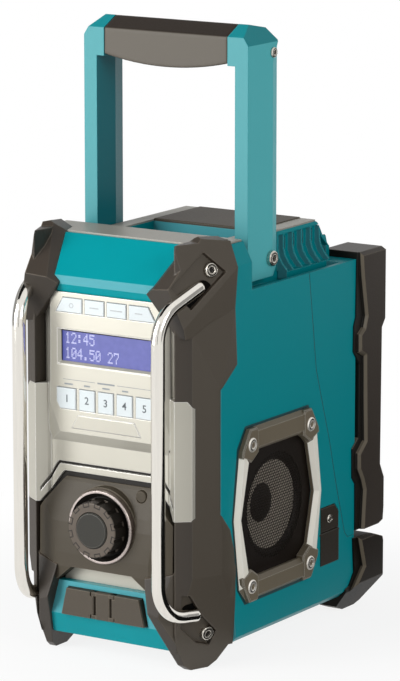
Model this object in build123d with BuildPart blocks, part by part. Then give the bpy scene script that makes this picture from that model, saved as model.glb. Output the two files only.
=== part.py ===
from build123d import *
import os
from math import cos, radians, sin

# Jobsite radio with a folding carry handle.
# +X is the right-hand side seen from the front, the front faces -Y, +Z is up.
# The origin is on the ground, under the middle of the whole object.
# Outlines are drawn as (depth, height), (x, height) or (x, depth), where depth is
# measured back from the ridge line across the chin.

# ---- driving dimensions (mm) -------------------------------------------------------
FRONT_Y = -109.0            # Y of the chin ridge
SIDE_X = 76.0               # half the width of the cabinet
WALL = 3.0                  # cabinet wall
SEAM = 0.4                  # joint line between the two cabinets
FACE_DEPTH = 10.0           # cabinet wall behind the front panel
BASE_Z = 14.0               # underside of the cabinet
LIP_Z = 256.5               # top edge of the side walls
RECESS_Z = 251.0            # floor of the channels that the handle arms stand in
LIP_X = 72.4                # outer edge of those channels
TOWER_X = 54.0              # half the width of the raised top
TOWER_Z = 284.3             # top of the raised part, under its trims
TRIM = 1.2                  # thickness of the grey trims
PAD_T = 2.0                 # thickness of the top pad
REAR_DEPTH = 222.0          # rear wall
CORNER_TILT = 22.0          # turn of the front corner faces from the side, degrees
CORNER_IN = 44.0            # distance of the cabinet's front corner faces from the ridge centre
BAR_D = 9.6                 # guard bar
BAR_WALL = 1.5
BAR_X = 56.0                # guard bar axis
BAR_DEPTH = -19.4
BAR_BEND = 25.0
SPEAKER_DEPTH = 98.0        # speaker centre
SPEAKER_Z = 101.0
GRIP_Z = 424.5              # front top edge of the grip
ARM_IN = 56.0               # inner face of a handle arm
ARM_OUT = 66.5
PIVOT_DEPTH = 104.2         # handle hinge axis
PIVOT_Z = 271.3
KNOB_Z = 96.5
KNOB_DEPTH = -2.0           # seat of the knob bezel
KEY_GAP = 0.35              # clearance round every key
KEY_TRAVEL = 1.0
FIT = 0.05                  # radial clearance of a running fit
CLEAR = 0.3                 # clearance between loose pieces

os.makedirs("parts", exist_ok=True)


# ---- drawing planes and small helpers ------------------------------------------------
def side_view(x):
    """Plane at one x, drawn in (depth, height); extrudes towards +X."""
    return Plane(origin=(x, FRONT_Y, 0), x_dir=(0, 1, 0), z_dir=(1, 0, 0))


def front_view(depth):
    """Plane at one depth, drawn in (x, height); extrudes towards the viewer."""
    return Plane(origin=(0, FRONT_Y + depth, 0), x_dir=(1, 0, 0), z_dir=(0, -1, 0))


def plan_view(height):
    """Plane at one height, drawn in (x, depth); extrudes upwards."""
    return Plane(origin=(0, FRONT_Y, height), x_dir=(1, 0, 0), z_dir=(0, 0, 1))


def spot(x, depth, height):
    return Vector(x, FRONT_Y + depth, height)


def facet(a, b, c):
    """Plane through three spots; its normal is the side that gets cut away."""
    normal = (b - a).cross(c - a)
    return Plane(origin=a, z_dir=normal.normalized())


def prism(plane, outline, length):
    with BuildPart() as block:
        with BuildSketch(plane):
            Polygon(*outline, align=None)
        extrude(amount=length)
    return block.part


def faceted(plane, outline, length, facets):
    """Prism whose outside is cut back to a set of planes."""
    with BuildPart() as block:
        with BuildSketch(plane):
            Polygon(*outline, align=None)
        extrude(amount=length)
        for cut in facets:
            split(bisect_by=cut, keep=Keep.BOTTOM)
    return block.part


def both_sides(outline):
    """Closes a half outline given on the +x side by its mirror image."""
    return outline + [(-x, y) for x, y in reversed(outline)]


def flipped(part):
    return mirror(part, about=Plane.YZ)


def finish(builder, label):
    builder.part.label = label
    export_step(builder.part, f"parts/{label}.step")


def hex_screw(plane, head_r, head_h, shank_r, shank_l):
    """Socket-head screw whose head sits on the plane and whose shank goes behind it."""
    with BuildPart() as screw:
        with BuildSketch(plane):
            Circle(head_r)
        extrude(amount=head_h)
        chamfer(screw.faces().sort_by(lambda f: plane.to_local_coords(f.center()).Z)[-1]
                .edges(), head_h * 0.25)
        with BuildSketch(plane.offset(head_h)):
            RegularPolygon(head_r * 0.52, 6)
        extrude(amount=-head_h * 0.7, mode=Mode.SUBTRACT)
        with BuildSketch(plane):
            Circle(shank_r)
        extrude(amount=-shank_l)
    return screw.part


def screw_room(plane, shank_r, shank_l):
    """Hole for the shank of such a screw."""
    with BuildPart() as room:
        with BuildSketch(plane.offset(CLEAR)):
            Circle(shank_r + FIT)
        extrude(amount=-shank_l - 2 * CLEAR)
    return room.part


# ---- faces of the front corners -----------------------------------------------------
CORNER_DIR = Vector(cos(radians(CORNER_TILT)), -sin(radians(CORNER_TILT)), 0)
corner_face = Plane(origin=spot(0, 0, 0) + CORNER_DIR * CORNER_IN, z_dir=CORNER_DIR)
corner_face_left = Plane(origin=spot(0, 0, 0) + Vector(-CORNER_DIR.X, CORNER_DIR.Y, 0)
                         * CORNER_IN, z_dir=(-CORNER_DIR.X, CORNER_DIR.Y, 0))
cavity_face = corner_face.offset(-WALL)
cavity_face_left = corner_face_left.offset(-WALL)

REAR_CORNER_A = spot(SIDE_X, 203, 0)
REAR_CORNER_B = spot(60, REAR_DEPTH, 0)
rear_corner = facet(REAR_CORNER_A, REAR_CORNER_B, REAR_CORNER_B + Vector(0, 0, 10))
rear_corner_left = Plane(origin=spot(-SIDE_X, 203, 0),
                         z_dir=(-rear_corner.z_dir.X, rear_corner.z_dir.Y, 0))

bumper_outline = [(-25, -5), (-25, 305), (41.7, 305), (41.7, 295.5), (44.6, 275.4),
                  (44.5, 247.3), (47, 208.5), (27, 194.4), (27, 108.6), (38.5, 95.8),
                  (46, 73), (42.4, 46), (46.3, 18.3), (46.3, -5)]

# ---- faces, pockets and screws of the front bumpers -----------------------------------
UPPER_FACE = facet(spot(66.2, 25.4, 295.8), spot(57.8, -9.3, 267), spot(78, 44.6, 275.4))
LOWER_DIR = Vector(0.9116, -0.3698, -0.1789)
LOWER_FACE = Plane(origin=spot(66.8, 5.6, 67), z_dir=LOWER_DIR)
POCKET = 3.2                # depth of the pockets round the screws and bar ends
upper_screw_plane = Plane(origin=spot(67, 26.5, 275), z_dir=UPPER_FACE.z_dir)
lower_screw_plane = Plane(origin=spot(63.8, 26.9, 25.3), z_dir=LOWER_DIR)
BUMPER_SCREW = (5.0, 3.0, 2.0, 7.0)     # head radius and height, shank radius and length

# ---- guard bars ----------------------------------------------------------------------
BAR_TURN = 13.5             # turn of the plane of a bar about its upright
SPIGOT = 7.5                # length of the spigots that turn into the bumper
bar_plane = Plane(origin=spot(BAR_X, BAR_DEPTH, 0),
                  x_dir=(sin(radians(BAR_TURN)), cos(radians(BAR_TURN)), 0),
                  z_dir=(cos(radians(BAR_TURN)), -sin(radians(BAR_TURN)), 0))
bar_corners = [(33.2, 40.3), (0, 43.5), (0, 248.5), (36.8, 264)]


def bent_bar(outer_r, inner_r):
    """Bar with two bends whose ends turn into the bumper as round spigots."""
    ends = ((bar_corners[0], LOWER_DIR), (bar_corners[-1], UPPER_FACE.z_dir))
    with BuildPart() as bar:
        with BuildLine(bar_plane) as path:
            FilletPolyline(*bar_corners, radius=BAR_BEND)
        with BuildSketch(Plane(origin=path.line @ 0, z_dir=path.line % 0)):
            Circle(outer_r)
            if inner_r:
                Circle(inner_r, mode=Mode.SUBTRACT)
        sweep()
        for end, outwards in ends:
            tip = bar_plane.from_local_coords(Vector(*end, 0))
            with Locations(tip):
                Sphere(outer_r)
            with BuildSketch(Plane(origin=tip, z_dir=outwards)):
                Circle(outer_r)
            extrude(amount=-SPIGOT)
    return bar.part


bar_room = bent_bar(BAR_D / 2 + FIT, 0)
with BuildPart() as guard_bar_right:
    add(bent_bar(BAR_D / 2, BAR_D / 2 - BAR_WALL))
with BuildPart() as guard_bar_left:
    add(flipped(guard_bar_right.part))

# ---- speakers: outlines shared by frame, plate and cabinet ------------------------------
def speaker_outline(half_widths):
    """Closed (depth, height) outline from half widths about the speaker's middle."""
    front = [(SPEAKER_DEPTH - w, h) for w, h in half_widths]
    back = [(SPEAKER_DEPTH + w, h) for w, h in reversed(half_widths)]
    return front + back


frame_half = [(40, 41.5), (49, 51), (56, SPEAKER_Z), (49, 148), (40, 162)]
window_half = [(29, 57), (36, 65), (46, SPEAKER_Z), (36, 137), (29, 144.5)]
plate_half = [(33, 54.5), (40, 62), (48.5, SPEAKER_Z), (40, 140), (33, 147.5)]
PLATE_X = 72.2
FRAME_X = 74.0
FRAME_TOP = 81.5
DRIVER_R = 40.0
CONE_R = 34.0
frame_screw_spots = [(62.3, 149.5), (134.5, 149.5), (62.3, 51.5), (134.5, 51.5)]
FRAME_SCREW = (3.4, 2.0, 1.5, 9.0)

with BuildPart() as speaker_room:
    with BuildSketch(side_view(FRAME_X)):
        Polygon(*speaker_outline(frame_half), align=None)
        offset(amount=0.4)
    extrude(amount=12)
    with BuildSketch(side_view(72)):
        Polygon(*speaker_outline(plate_half), align=None)
        offset(amount=0.2)
    extrude(amount=3)
    with BuildSketch(side_view(60)):
        with Locations((SPEAKER_DEPTH, SPEAKER_Z)):
            Circle(CONE_R)
    extrude(amount=15)

# ---- cabinet outlines -----------------------------------------------------------------
seam_line = [(139.5, LIP_Z), (149.6, 186.5), (167.9, 133), (176.5, 102.6),
             (189.5, 62), (193.7, 57.5)]
front_outline = ([(8, BASE_Z), (-0.6, 30), (0.5, 53.5), (FACE_DEPTH, 53.5),
                  (FACE_DEPTH, 253.9), (3.2, 253.9), (0, 259.6), (0, 265.5), (25.65, 290.1),
                  (60.5, 290.1), (65.5, 275.5), (65.6, LIP_Z)] + seam_line
                 + [(REAR_DEPTH, 57.5), (REAR_DEPTH, 20), (216, BASE_Z)])
rear_outline = ([(d + SEAM, h) for d, h in seam_line[:-1]]
                + [(194.1, 57.9), (REAR_DEPTH, 57.9), (REAR_DEPTH, 248), (214, LIP_Z)])
SHOULDER_LEAN = facet(spot(SIDE_X, 0, 275.5), spot(SIDE_X, 10, 275.5), spot(72, 0, 291))
SHOULDER_LEAN_LEFT = facet(spot(-SIDE_X, 10, 275.5), spot(-SIDE_X, 0, 275.5),
                           spot(-72, 0, 291))
BASE_EDGE = facet(spot(SIDE_X, 10, 18.5), spot(SIDE_X, 0, 18.5), spot(71, 0, BASE_Z))
BASE_EDGE_LEFT = facet(spot(-SIDE_X, 0, 18.5), spot(-SIDE_X, 10, 18.5),
                       spot(-71, 0, BASE_Z))
CHEEK_X = 42.0              # inner face of the cheeks that carry the handle
TOWER_START = 132.0         # where the rear cabinet's raised top begins
cheek_outline = [(60, LIP_Z), (60, 262), (78, 262), (86, TOWER_Z),
                 (TOWER_START, TOWER_Z), (TOWER_START, LIP_Z)]


def arm_channel(side, near, far, inner):
    """Open channel beside the raised top, between two depths."""
    return prism(side_view(side * inner),
                 [(near, RECESS_Z), (near, 310), (far, 310), (far, RECESS_Z)],
                 side * (LIP_X - inner))


def front_form():
    """Outside of the front cabinet as a solid, without its hollows."""
    corner_cut = faceted(side_view(36), bumper_outline, 50, [])
    corner_cut = split(corner_cut, bisect_by=corner_face, keep=Keep.TOP)
    with BuildPart() as form:
        with BuildSketch(side_view(-SIDE_X)):
            Polygon(*front_outline, align=None)
        extrude(amount=2 * SIDE_X)
        for cut in (SHOULDER_LEAN, SHOULDER_LEAN_LEFT, BASE_EDGE, BASE_EDGE_LEFT,
                    rear_corner, rear_corner_left):
            split(bisect_by=cut, keep=Keep.BOTTOM)
        add(corner_cut, mode=Mode.SUBTRACT)
        add(flipped(corner_cut), mode=Mode.SUBTRACT)
        with BuildSketch(side_view(-TOWER_X)):
            Polygon(*cheek_outline, align=None)
        extrude(amount=2 * TOWER_X)
        with BuildSketch(side_view(-CHEEK_X)):
            Polygon((66, 262), (66, 300), (124, 300), (124, 262), align=None)
        extrude(amount=2 * CHEEK_X, mode=Mode.SUBTRACT)
        for side in (1, -1):
            add(arm_channel(side, 66, 145, TOWER_X), mode=Mode.SUBTRACT)
    return form.part


cabinet_form = front_form()

# ---- front bumpers ---------------------------------------------------------------------
BAND_R = spot(43, -5, 265)
HEAD_B = spot(57.8, -9.3, 267)
HEAD_G = spot(59.8, 23.4, 297.5)
HEAD_F = spot(63, 41.7, 295.3)
BROW_T1 = spot(49, 26.9, 291.3)
BROW_T2 = spot(40, 0, 265.5)
POST_EDGE = spot(56.5, -0.6, 238)
front_band = facet(BAND_R, HEAD_B, HEAD_G)
inner_band = facet(BROW_T2, BAND_R, BROW_T1)
head_top = facet(HEAD_G, spot(66.2, 25.4, 295.8), spot(64.5, 38, 295.5))
inner_slope = facet(HEAD_G, HEAD_F, spot(54, 40, 291))
head_under = facet(spot(57.8, -9.3, 264), spot(43, -5, 262), POST_EDGE)
head_inner = facet(spot(37.5, 0, 258), spot(37.5, 10, 258), spot(54.6, 0, 236))
head_outline = [(-12, 232), (-12, 302), (41.7, 302), (41.7, 295.5), (44.6, 275.4),
                (44.5, 247.3), (20, 240), (4, 232)]
flare = facet(spot(45, -9.6, 41.8), spot(56.5, -0.6, 67.8), spot(41.3, -8.2, 51.5))
toe_front = facet(spot(45, -9.6, 41.8), spot(55, 12, 2), spot(55, -9.6, 41.8))
toe_outer = facet(spot(48.2, -9.6, 0), spot(64, 13, 0), spot(64, 13, 40))
toe_inner = facet(spot(44.2, -0.6, 30), spot(37.4, 0, 53.8), spot(44.2, 20, 30))
toe_keel = facet(spot(44.2, -0.6, 30), spot(44.2, 20, 30), spot(51.5, 10, 0))
toe_side = facet(spot(66.8, 5.6, 67), spot(77.6, 42.3, 46.2), spot(SIDE_X, 46, 73))
head_side = facet(spot(67.3, 2.9, 243.5), spot(SIDE_X, 44.5, 247.3), spot(78, 44.6, 275.4))
post_side = facet(spot(66.8, 5.4, 235), spot(75.5, 26.8, 194.4), spot(SIDE_X, 44.5, 247.3))
toe_outline = [(-14, 36), (-14, 60), (3, 72), (30, 84), (46, 73), (42.4, 46), (46.3, 18.3),
               (36, 4), (30, 0), (17, 0), (8, 6)]
post_plan = [(54.6, 17.7), (54.6, 9), (56.5, -0.6), (66.8, 5.6), (SIDE_X, 28.3),
             (SIDE_X, 70)]
wing_plan = [(46, 9.9), (50, 4.5), (56.5, -0.6), (66.8, 5.6), (67.7, 7.8), (62, 9.9)]
wing_face = [(44, 106), (44, 189), (64, 189), (70, 181), (70, 112), (66, 107)]

with BuildPart() as wing:
    with BuildSketch(plan_view(100)):
        Polygon(*wing_plan, align=None)
    extrude(amount=100)
    with BuildSketch(front_view(12)):
        Polygon(*wing_face, align=None)
    extrude(amount=20, mode=Mode.INTERSECT)


def on_plane(plane, spots):
    """Local (x, y) of spots dropped onto a plane."""
    local = [plane.to_local_coords(p) for p in spots]
    return [(p.X, p.Y) for p in local]


upper_pocket = [spot(65.4, 21.1, 287.9), spot(74.3, 36, 273.3), spot(66.1, 4.8, 250.9),
                spot(58, -7.4, 267)]
lower_pocket = [spot(62.6, 0.8, 55.7), spot(64.8, 6.1, 55.4), spot(66.7, 19.3, 38.1),
                spot(69.4, 31.4, 26.5), spot(65.9, 28, 16.2), spot(62.3, 17.4, 19.6),
                spot(58.9, 2.8, 32.4)]

with BuildPart() as front_bumper_right:
    with BuildSketch(plan_view(14)):
        Polygon(*post_plan, align=None)
    extrude(amount=280)
    with BuildSketch(side_view(36)):
        Polygon(*bumper_outline, align=None)
    extrude(amount=50, mode=Mode.INTERSECT)
    split(bisect_by=post_side, keep=Keep.BOTTOM)
    add(faceted(side_view(36), head_outline, 50,
                [front_band, inner_band, head_top, inner_slope, head_under, head_inner,
                 head_side]))
    add(faceted(side_view(36), toe_outline, 50,
                [flare, toe_front, toe_outer, toe_inner, toe_keel, toe_side]))
    for face in (UPPER_FACE, LOWER_FACE):
        split(bisect_by=face, keep=Keep.BOTTOM)
    add(cabinet_form, mode=Mode.SUBTRACT)
    add(wing.part, mode=Mode.SUBTRACT)
    for face, corners in ((UPPER_FACE, upper_pocket), (LOWER_FACE, lower_pocket)):
        with BuildSketch(face):
            Polygon(*on_plane(face, corners), align=None)
        extrude(amount=-POCKET, taper=12, mode=Mode.SUBTRACT)
    add(bar_room, mode=Mode.SUBTRACT)
    for plane in (upper_screw_plane, lower_screw_plane):
        with BuildSketch(plane):
            Circle(BUMPER_SCREW[0] + CLEAR)
        extrude(amount=6, mode=Mode.SUBTRACT)
        add(screw_room(plane, *BUMPER_SCREW[2:]), mode=Mode.SUBTRACT)
    add(speaker_room.part, mode=Mode.SUBTRACT)

with BuildPart() as front_bumper_left:
    add(flipped(front_bumper_right.part))

# ---- battery bay, ports and inlet ----------------------------------------------------------
DOOR_X = 44.5               # half the width of the battery door
DOOR_LOW = 66.4
DOOR_HIGH = 234.5
DOOR_DEPTH = 219.5
DOOR_T = 4.0
HINGE_DEPTH = 225.6         # door hinge axis
HINGE_Z = 62.0
PIN_R = 1.5
PORT_LOW = 30.5
PORT_HIGH = 50.0
PORT_HINGE_X = 8.4          # hinge axes of the port covers
PORT_HINGE_DEPTH = -2.6
PORT_EAR_R = 1.4            # keeper ears and cover barrels round those axes
PORT_EARS = [(31.0, 2.5), (47.0, 2.5)]     # bottom and height of the keeper's ears
STUB_R = 0.8                # hinge stubs of the covers
INLET_HINGE_X = 75.3
INLET_HINGE_Z = 66.4
port_pocket = [(-35.4, PORT_LOW), (35.4, PORT_LOW), (30.8, PORT_HIGH), (-30.8, PORT_HIGH)]


def pivot_room(side, radius):
    """Bore across one cheek and its boss for a handle bolt."""
    with BuildPart() as room:
        with BuildSketch(side_view(side * CHEEK_X)):
            with Locations((PIVOT_DEPTH, PIVOT_Z)):
                Circle(radius)
        extrude(amount=side * 16)
    return room.part


# ---- front cabinet -----------------------------------------------------------------------
with BuildPart() as cavity:
    with BuildSketch(side_view(-SIDE_X + WALL)):
        Polygon((13, BASE_Z + WALL), (13, 248), (230, 248), (230, 60), (190.5, 60),
                (190.5, 54.5), (REAR_DEPTH - WALL, 54.5), (REAR_DEPTH - WALL, BASE_Z + WALL),
                align=None)
    extrude(amount=2 * (SIDE_X - WALL))
    for cut in (cavity_face, cavity_face_left, rear_corner.offset(-WALL),
                rear_corner_left.offset(-WALL), BASE_EDGE.offset(-WALL),
                BASE_EDGE_LEFT.offset(-WALL)):
        split(bisect_by=cut, keep=Keep.BOTTOM)
    with BuildSketch(side_view(-41)):
        Polygon((13, 246), (9, 257), (5, 264), (27.5, 286.5), (57.8, 286.5), (62, 274),
                (62, 246), align=None)
    extrude(amount=82)

with BuildPart() as front_cabinet:
    add(cabinet_form)
    add(cavity.part, mode=Mode.SUBTRACT)
    with BuildSketch(front_view(14)):
        Polygon(*both_sides([(40, 58), (43, 62), (43, 246), (40, 248)]), align=None)
    extrude(amount=10, mode=Mode.SUBTRACT)
    for side in (1, -1):
        with BuildSketch(side_view(side * 67)):
            Polygon((48.5, 44), (48.5, 157), (147.5, 157), (147.5, 44), align=None)
        extrude(amount=side * 8)
        with BuildSketch(side_view(side * 54)):
            with Locations((PIVOT_DEPTH, PIVOT_Z)):
                Circle(9)
        extrude(amount=side * 1.7)
        add(pivot_room(side, 4), mode=Mode.SUBTRACT)
        for depth, height in frame_screw_spots:
            with BuildSketch(side_view(side * 69)):
                with Locations((depth, height)):
                    Circle(FRAME_SCREW[2] + FIT)
            extrude(amount=side * 8, mode=Mode.SUBTRACT)
    add(speaker_room.part, mode=Mode.SUBTRACT)
    add(flipped(speaker_room.part), mode=Mode.SUBTRACT)
    shank = screw_room(lower_screw_plane, *BUMPER_SCREW[2:])
    add(shank, mode=Mode.SUBTRACT)
    add(flipped(shank), mode=Mode.SUBTRACT)
    with BuildSketch(front_view(5.4)):
        Polygon(*port_pocket, align=None)
    extrude(amount=12, mode=Mode.SUBTRACT)
    with BuildSketch(front_view(14)):
        with Locations((-21, 40)):
            Rectangle(15, 8)
        with Locations((21, 40)):
            Circle(4.2)
    extrude(amount=12, mode=Mode.SUBTRACT)
    with BuildSketch(side_view(66)):
        Polygon((152, 41), (152, 90), (176, 90), (184, 66), (184, 41), align=None)
    extrude(amount=8)
    with BuildSketch(side_view(73.5)):
        Polygon((156.6, 43.6), (156.6, 86), (176, 86), (181.4, 80), (181.4, 43.6), align=None)
    extrude(amount=5, mode=Mode.SUBTRACT)
    with BuildSketch(Plane(origin=spot(INLET_HINGE_X, 155.2, INLET_HINGE_Z),
                           z_dir=(0, 1, 0))):
        Circle(STUB_R + FIT)
    extrude(amount=27.6, mode=Mode.SUBTRACT)
    with BuildSketch(side_view(60)):
        with Locations((169, 54)):
            Circle(5)
    extrude(amount=15, mode=Mode.SUBTRACT)
    with BuildSketch(side_view(66)):
        with Locations((168, 76.5)):
            Circle(1.5 + FIT)
    extrude(amount=10, mode=Mode.SUBTRACT)

# ---- rear cabinet ----------------------------------------------------------------------------
box_outline = [(TOWER_START + SEAM, LIP_Z + SEAM), (TOWER_START + SEAM, TOWER_Z),
               (184, TOWER_Z), (186.3, 283.3), (188.4, 281.2), (193, 274.3), (198, 268.5),
               (203, 264), (203, 250), (141, 250), (139.9, LIP_Z + SEAM)]
skirt_outline = [(TOWER_X - 1, 273), (TOWER_X, 272), (55.3, 266.5), (58, 262), (62, 257.5),
                 (62, RECESS_Z + SEAM), (TOWER_X + SEAM, RECESS_Z + SEAM),
                 (TOWER_X + SEAM, LIP_Z + SEAM), (TOWER_X - 1, LIP_Z + SEAM)]
skirt_foot = [(141, RECESS_Z - 1), (198, RECESS_Z - 1), (198, LIP_Z), (141, LIP_Z)]
RIBS = [141.5 + 12 * n for n in range(5)]       # depths of the thin ribs of the louvres
RIB = 1.6
groove_section = [(50.5, 281.4), (50.5, 268), (53, 262.3), (57.5, 257.2), (64, 256.8),
                  (64, 281.4)]
last_groove = [(RIBS[-1] + RIB / 2, 278), (RIBS[-1] + RIB / 2, 256), (198.5, 256),
               (198.5, 265), (192.3, 272)]
rear_cavity_outline = [(130, 248), (150, 186.5), (168.2, 133), (176.8, 102.6), (189.8, 62),
                       (189.8, 57), (196, 57), (196, 60.9), (REAR_DEPTH - WALL, 60.9),
                       (REAR_DEPTH - WALL, 245.5), (217, 248)]

with BuildPart() as rear_form:
    with BuildSketch(side_view(-SIDE_X)):
        Polygon(*rear_outline, align=None)
    extrude(amount=2 * SIDE_X)
    for cut in (rear_corner, rear_corner_left):
        split(bisect_by=cut, keep=Keep.BOTTOM)
    with BuildSketch(side_view(-TOWER_X)):
        Polygon(*box_outline, align=None)
    extrude(amount=2 * TOWER_X)
    for side in (1, -1):
        add(arm_channel(side, 135, 186, TOWER_X), mode=Mode.SUBTRACT)

with BuildPart() as rear_cabinet:
    add(rear_form.part)
    with BuildSketch(front_view(198)):
        Polygon(*skirt_outline, align=None)
        Polygon(*[(-x, h) for x, h in reversed(skirt_outline)], align=None)
    extrude(amount=65)
    for side in (1, -1):
        add(prism(side_view(side * (TOWER_X - 1)), skirt_foot, side * 9))
    with BuildSketch(side_view(-SIDE_X + WALL)):
        Polygon(*rear_cavity_outline, align=None)
    extrude(amount=2 * (SIDE_X - WALL), mode=Mode.SUBTRACT)
    with BuildSketch(side_view(-46)):
        Polygon((144, 246), (TOWER_START + 4, 260), (TOWER_START + 4, 281), (182, 281),
                (198, 263.5), (198, 246), align=None)
    extrude(amount=92, mode=Mode.SUBTRACT)
    for side in (1, -1):
        for near, far in zip([134.5 - RIB / 2] + RIBS, RIBS):
            with BuildSketch(front_view(far - RIB / 2)):
                Polygon(*[(side * x, h) for x, h in groove_section][::side], align=None)
            extrude(amount=far - near - RIB, mode=Mode.SUBTRACT)
            with BuildSketch(side_view(side * 45)):
                with Locations(((near + far) / 2, 274)):
                    SlotOverall(11, 4, rotation=90)
            extrude(amount=side * 8, mode=Mode.SUBTRACT)
        add(prism(side_view(side * 50.5), last_groove, side * 14), mode=Mode.SUBTRACT)
    with BuildSketch(front_view(REAR_DEPTH + 1)):
        Polygon(*both_sides([(45, 66), (45, 235)]), align=None)
    extrude(amount=5, mode=Mode.SUBTRACT)
    for x in (-41, 29.6):
        with BuildSketch(side_view(x)):
            with Locations((HINGE_DEPTH, HINGE_Z)):
                Circle(3.2)
                Circle(PIN_R, mode=Mode.SUBTRACT)
            Polygon((REAR_DEPTH - 1, 58.4), (REAR_DEPTH - 1, 65.4), (HINGE_DEPTH - 2, 64.3),
                    (HINGE_DEPTH - 2, 59.3), align=None)
        extrude(amount=11.4)

# ---- rear corner bumpers and feet --------------------------------------------------------------
BLOCK_X = 80.5              # side faces of the raised blocks
BAND_X = 77.2               # side faces of the bands that the blocks stand on
BLOCK_EDGE = 1.9            # chamfer along the front of the blocks
band_plan = [(50, 190), (BAND_X, 190), (BAND_X, 234), (50, 234)]
block_plan = [(50, 190), (BLOCK_X, 190), (BLOCK_X, 237), (77, 241.7), (50, 241.7)]
rear_back = [(230, 60.5), (236, 62.4), (239, 89.6), (231.5, 104), (232, 170), (232.4, 203.5),
             (241.7, 215.4), (238.4, 257), (235, 261.5)]
band_side = rear_back + [(203, 261.5), (202, 215), (199.3, 209), (199, 190.6), (206.7, 181),
                         (206.3, 127.5), (198, 120.8), (198.4, 99.6), (202.6, 94.4),
                         (203.2, 60.5)]
block_side = rear_back + [(204, 261.5), (204.9, 252.6), (206, 244.3), (211.5, 215),
                          (208.7, 207), (202.8, 202.9), (203, 190), (210, 186.5),
                          (210.5, 155), (211.6, 124.7), (202.5, 117), (202.7, 105.3),
                          (207.8, 97), (210.8, 89), (208.4, 60.5)]


def corner_block(plan, side, low, high, edge):
    """Block on a rear corner, drawn in plan and from the side, with a chamfered front."""
    with BuildPart() as block:
        with BuildSketch(plan_view(low)):
            Polygon(*plan, align=None)
        extrude(amount=high - low)
        with BuildSketch(side_view(40)):
            Polygon(*side, align=None)
        extrude(amount=50, mode=Mode.INTERSECT)
        if edge:
            outer = block.faces().sort_by(Axis.X)[-1]
            chamfer(outer.edges().filter_by(lambda e: e.center().Y < FRONT_Y + 214), edge)
    return block.part


rear_screw_planes = [Plane(origin=spot(66, 234.2, 96), z_dir=(0, 1, 0)),
                     Plane(origin=spot(66, 236.4, 236), z_dir=(0, 1, 0))]
with BuildPart() as rear_bumper_right:
    add(corner_block(band_plan, band_side, 50, 270, 0))
    add(corner_block(block_plan, block_side, 50, 270, BLOCK_EDGE))
    split(bisect_by=facet(spot(BLOCK_X, 0, 259), spot(BLOCK_X, 10, 259), spot(78, 0, 261.5)),
          keep=Keep.BOTTOM)
    add(rear_form.part, mode=Mode.SUBTRACT)
    add(cabinet_form, mode=Mode.SUBTRACT)
    for plane in rear_screw_planes:
        with BuildSketch(plane):
            Circle(6.5)
        extrude(amount=12, mode=Mode.SUBTRACT)
        add(screw_room(plane, *BUMPER_SCREW[2:]), mode=Mode.SUBTRACT)
with BuildPart() as rear_bumper_left:
    add(flipped(rear_bumper_right.part))

foot_back = [(206, 0), (222, 0), (227, 2.5), (240, 22), (241.7, 32), (236, 50), (222, 55)]
foot_band = foot_back + [(200, 55.4), (202, 30), (195, 21), (182, 17.5), (182, 13), (190, 6)]
foot_block = foot_back + [(204.4, 55), (211.2, 33), (196, 17.5), (187, 12), (192, 6)]
with BuildPart() as rear_foot_right:
    add(corner_block(band_plan, foot_band, 0, 60, 0))
    add(corner_block(block_plan, foot_block, 0, 60, BLOCK_EDGE))
    for cut in (facet(spot(BLOCK_X, 0, 22), spot(65, 0, 0), spot(BLOCK_X, 10, 22)),
                facet(spot(50, 0, 12), spot(50, 10, 12), spot(53, 0, 0))):
        split(bisect_by=cut, keep=Keep.BOTTOM)
    add(cabinet_form, mode=Mode.SUBTRACT)
    add(rear_form.part, mode=Mode.SUBTRACT)
with BuildPart() as rear_foot_left:
    add(flipped(rear_foot_right.part))

# ---- front panel ---------------------------------------------------------------------------------
BASE_DEPTH = 6.0            # front of the lower part of the panel
ISLAND_DEPTH = 2.0          # front of the raised key and display island
SKIN_BACK = 5.0
POCKET_DEPTH = 8.0          # floor of the pocket that the control panel sits in
panel_plan = [(47, BASE_DEPTH), (54.3, 9.3), (54.3, 16.4), (51.4, 9.95)]
island_low = facet(spot(0, BASE_DEPTH, 150), spot(10, BASE_DEPTH, 150),
                   spot(0, ISLAND_DEPTH, 157.3))
island_corner = facet(spot(47.1, BASE_DEPTH, 150), spot(45.9, ISLAND_DEPTH, 178),
                      spot(37.8, ISLAND_DEPTH, 157.3))
island_side = facet(spot(50, BASE_DEPTH, 178), spot(49.2, BASE_DEPTH, 253),
                    spot(45.9, ISLAND_DEPTH, 178))
control_half = [(44.2, 52.2), (54.2, 64), (54.2, 103), (36.6, 124), (35.6, 125.5)]
control_outline = ([(24.7, 65.5), (37, 55.5)] + control_half
                   + [(-x, h) for x, h in reversed(control_half)]
                   + [(-37, 55.5), (-24.7, 65.5)])
pocket_half = [(44.2, 50), (54.2, 64), (54.2, 107), (39, 127.5), (37, 129.3)]
groove_outer = [(54.2, 104), (54.2, 116.5), (43.5, 134), (41.5, 135.8)]
groove_inner = [(54.2, 104), (54.2, 113.5), (42, 132.2), (40.7, 133.7)]
MODE_LOW = 240.3
MODE_HIGH = 250.2
mode_key_outlines = {
    "mode_key_1": [(-40.4, MODE_LOW), (-19.1, MODE_LOW), (-19.1, MODE_HIGH), (-34.6, MODE_HIGH)],
    "mode_key_2": [(-16.7, MODE_LOW), (-1.2, MODE_LOW), (-1.2, MODE_HIGH), (-16.7, MODE_HIGH)],
    "mode_key_3": [(1.2, MODE_LOW), (16.7, MODE_LOW), (16.7, MODE_HIGH), (1.2, MODE_HIGH)],
    "mode_key_4": [(19.1, MODE_LOW), (40.4, MODE_LOW), (34.6, MODE_HIGH), (19.1, MODE_HIGH)]}
PRESET_LOW = 173.5
PRESET_HIGH = 188.0
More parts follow.
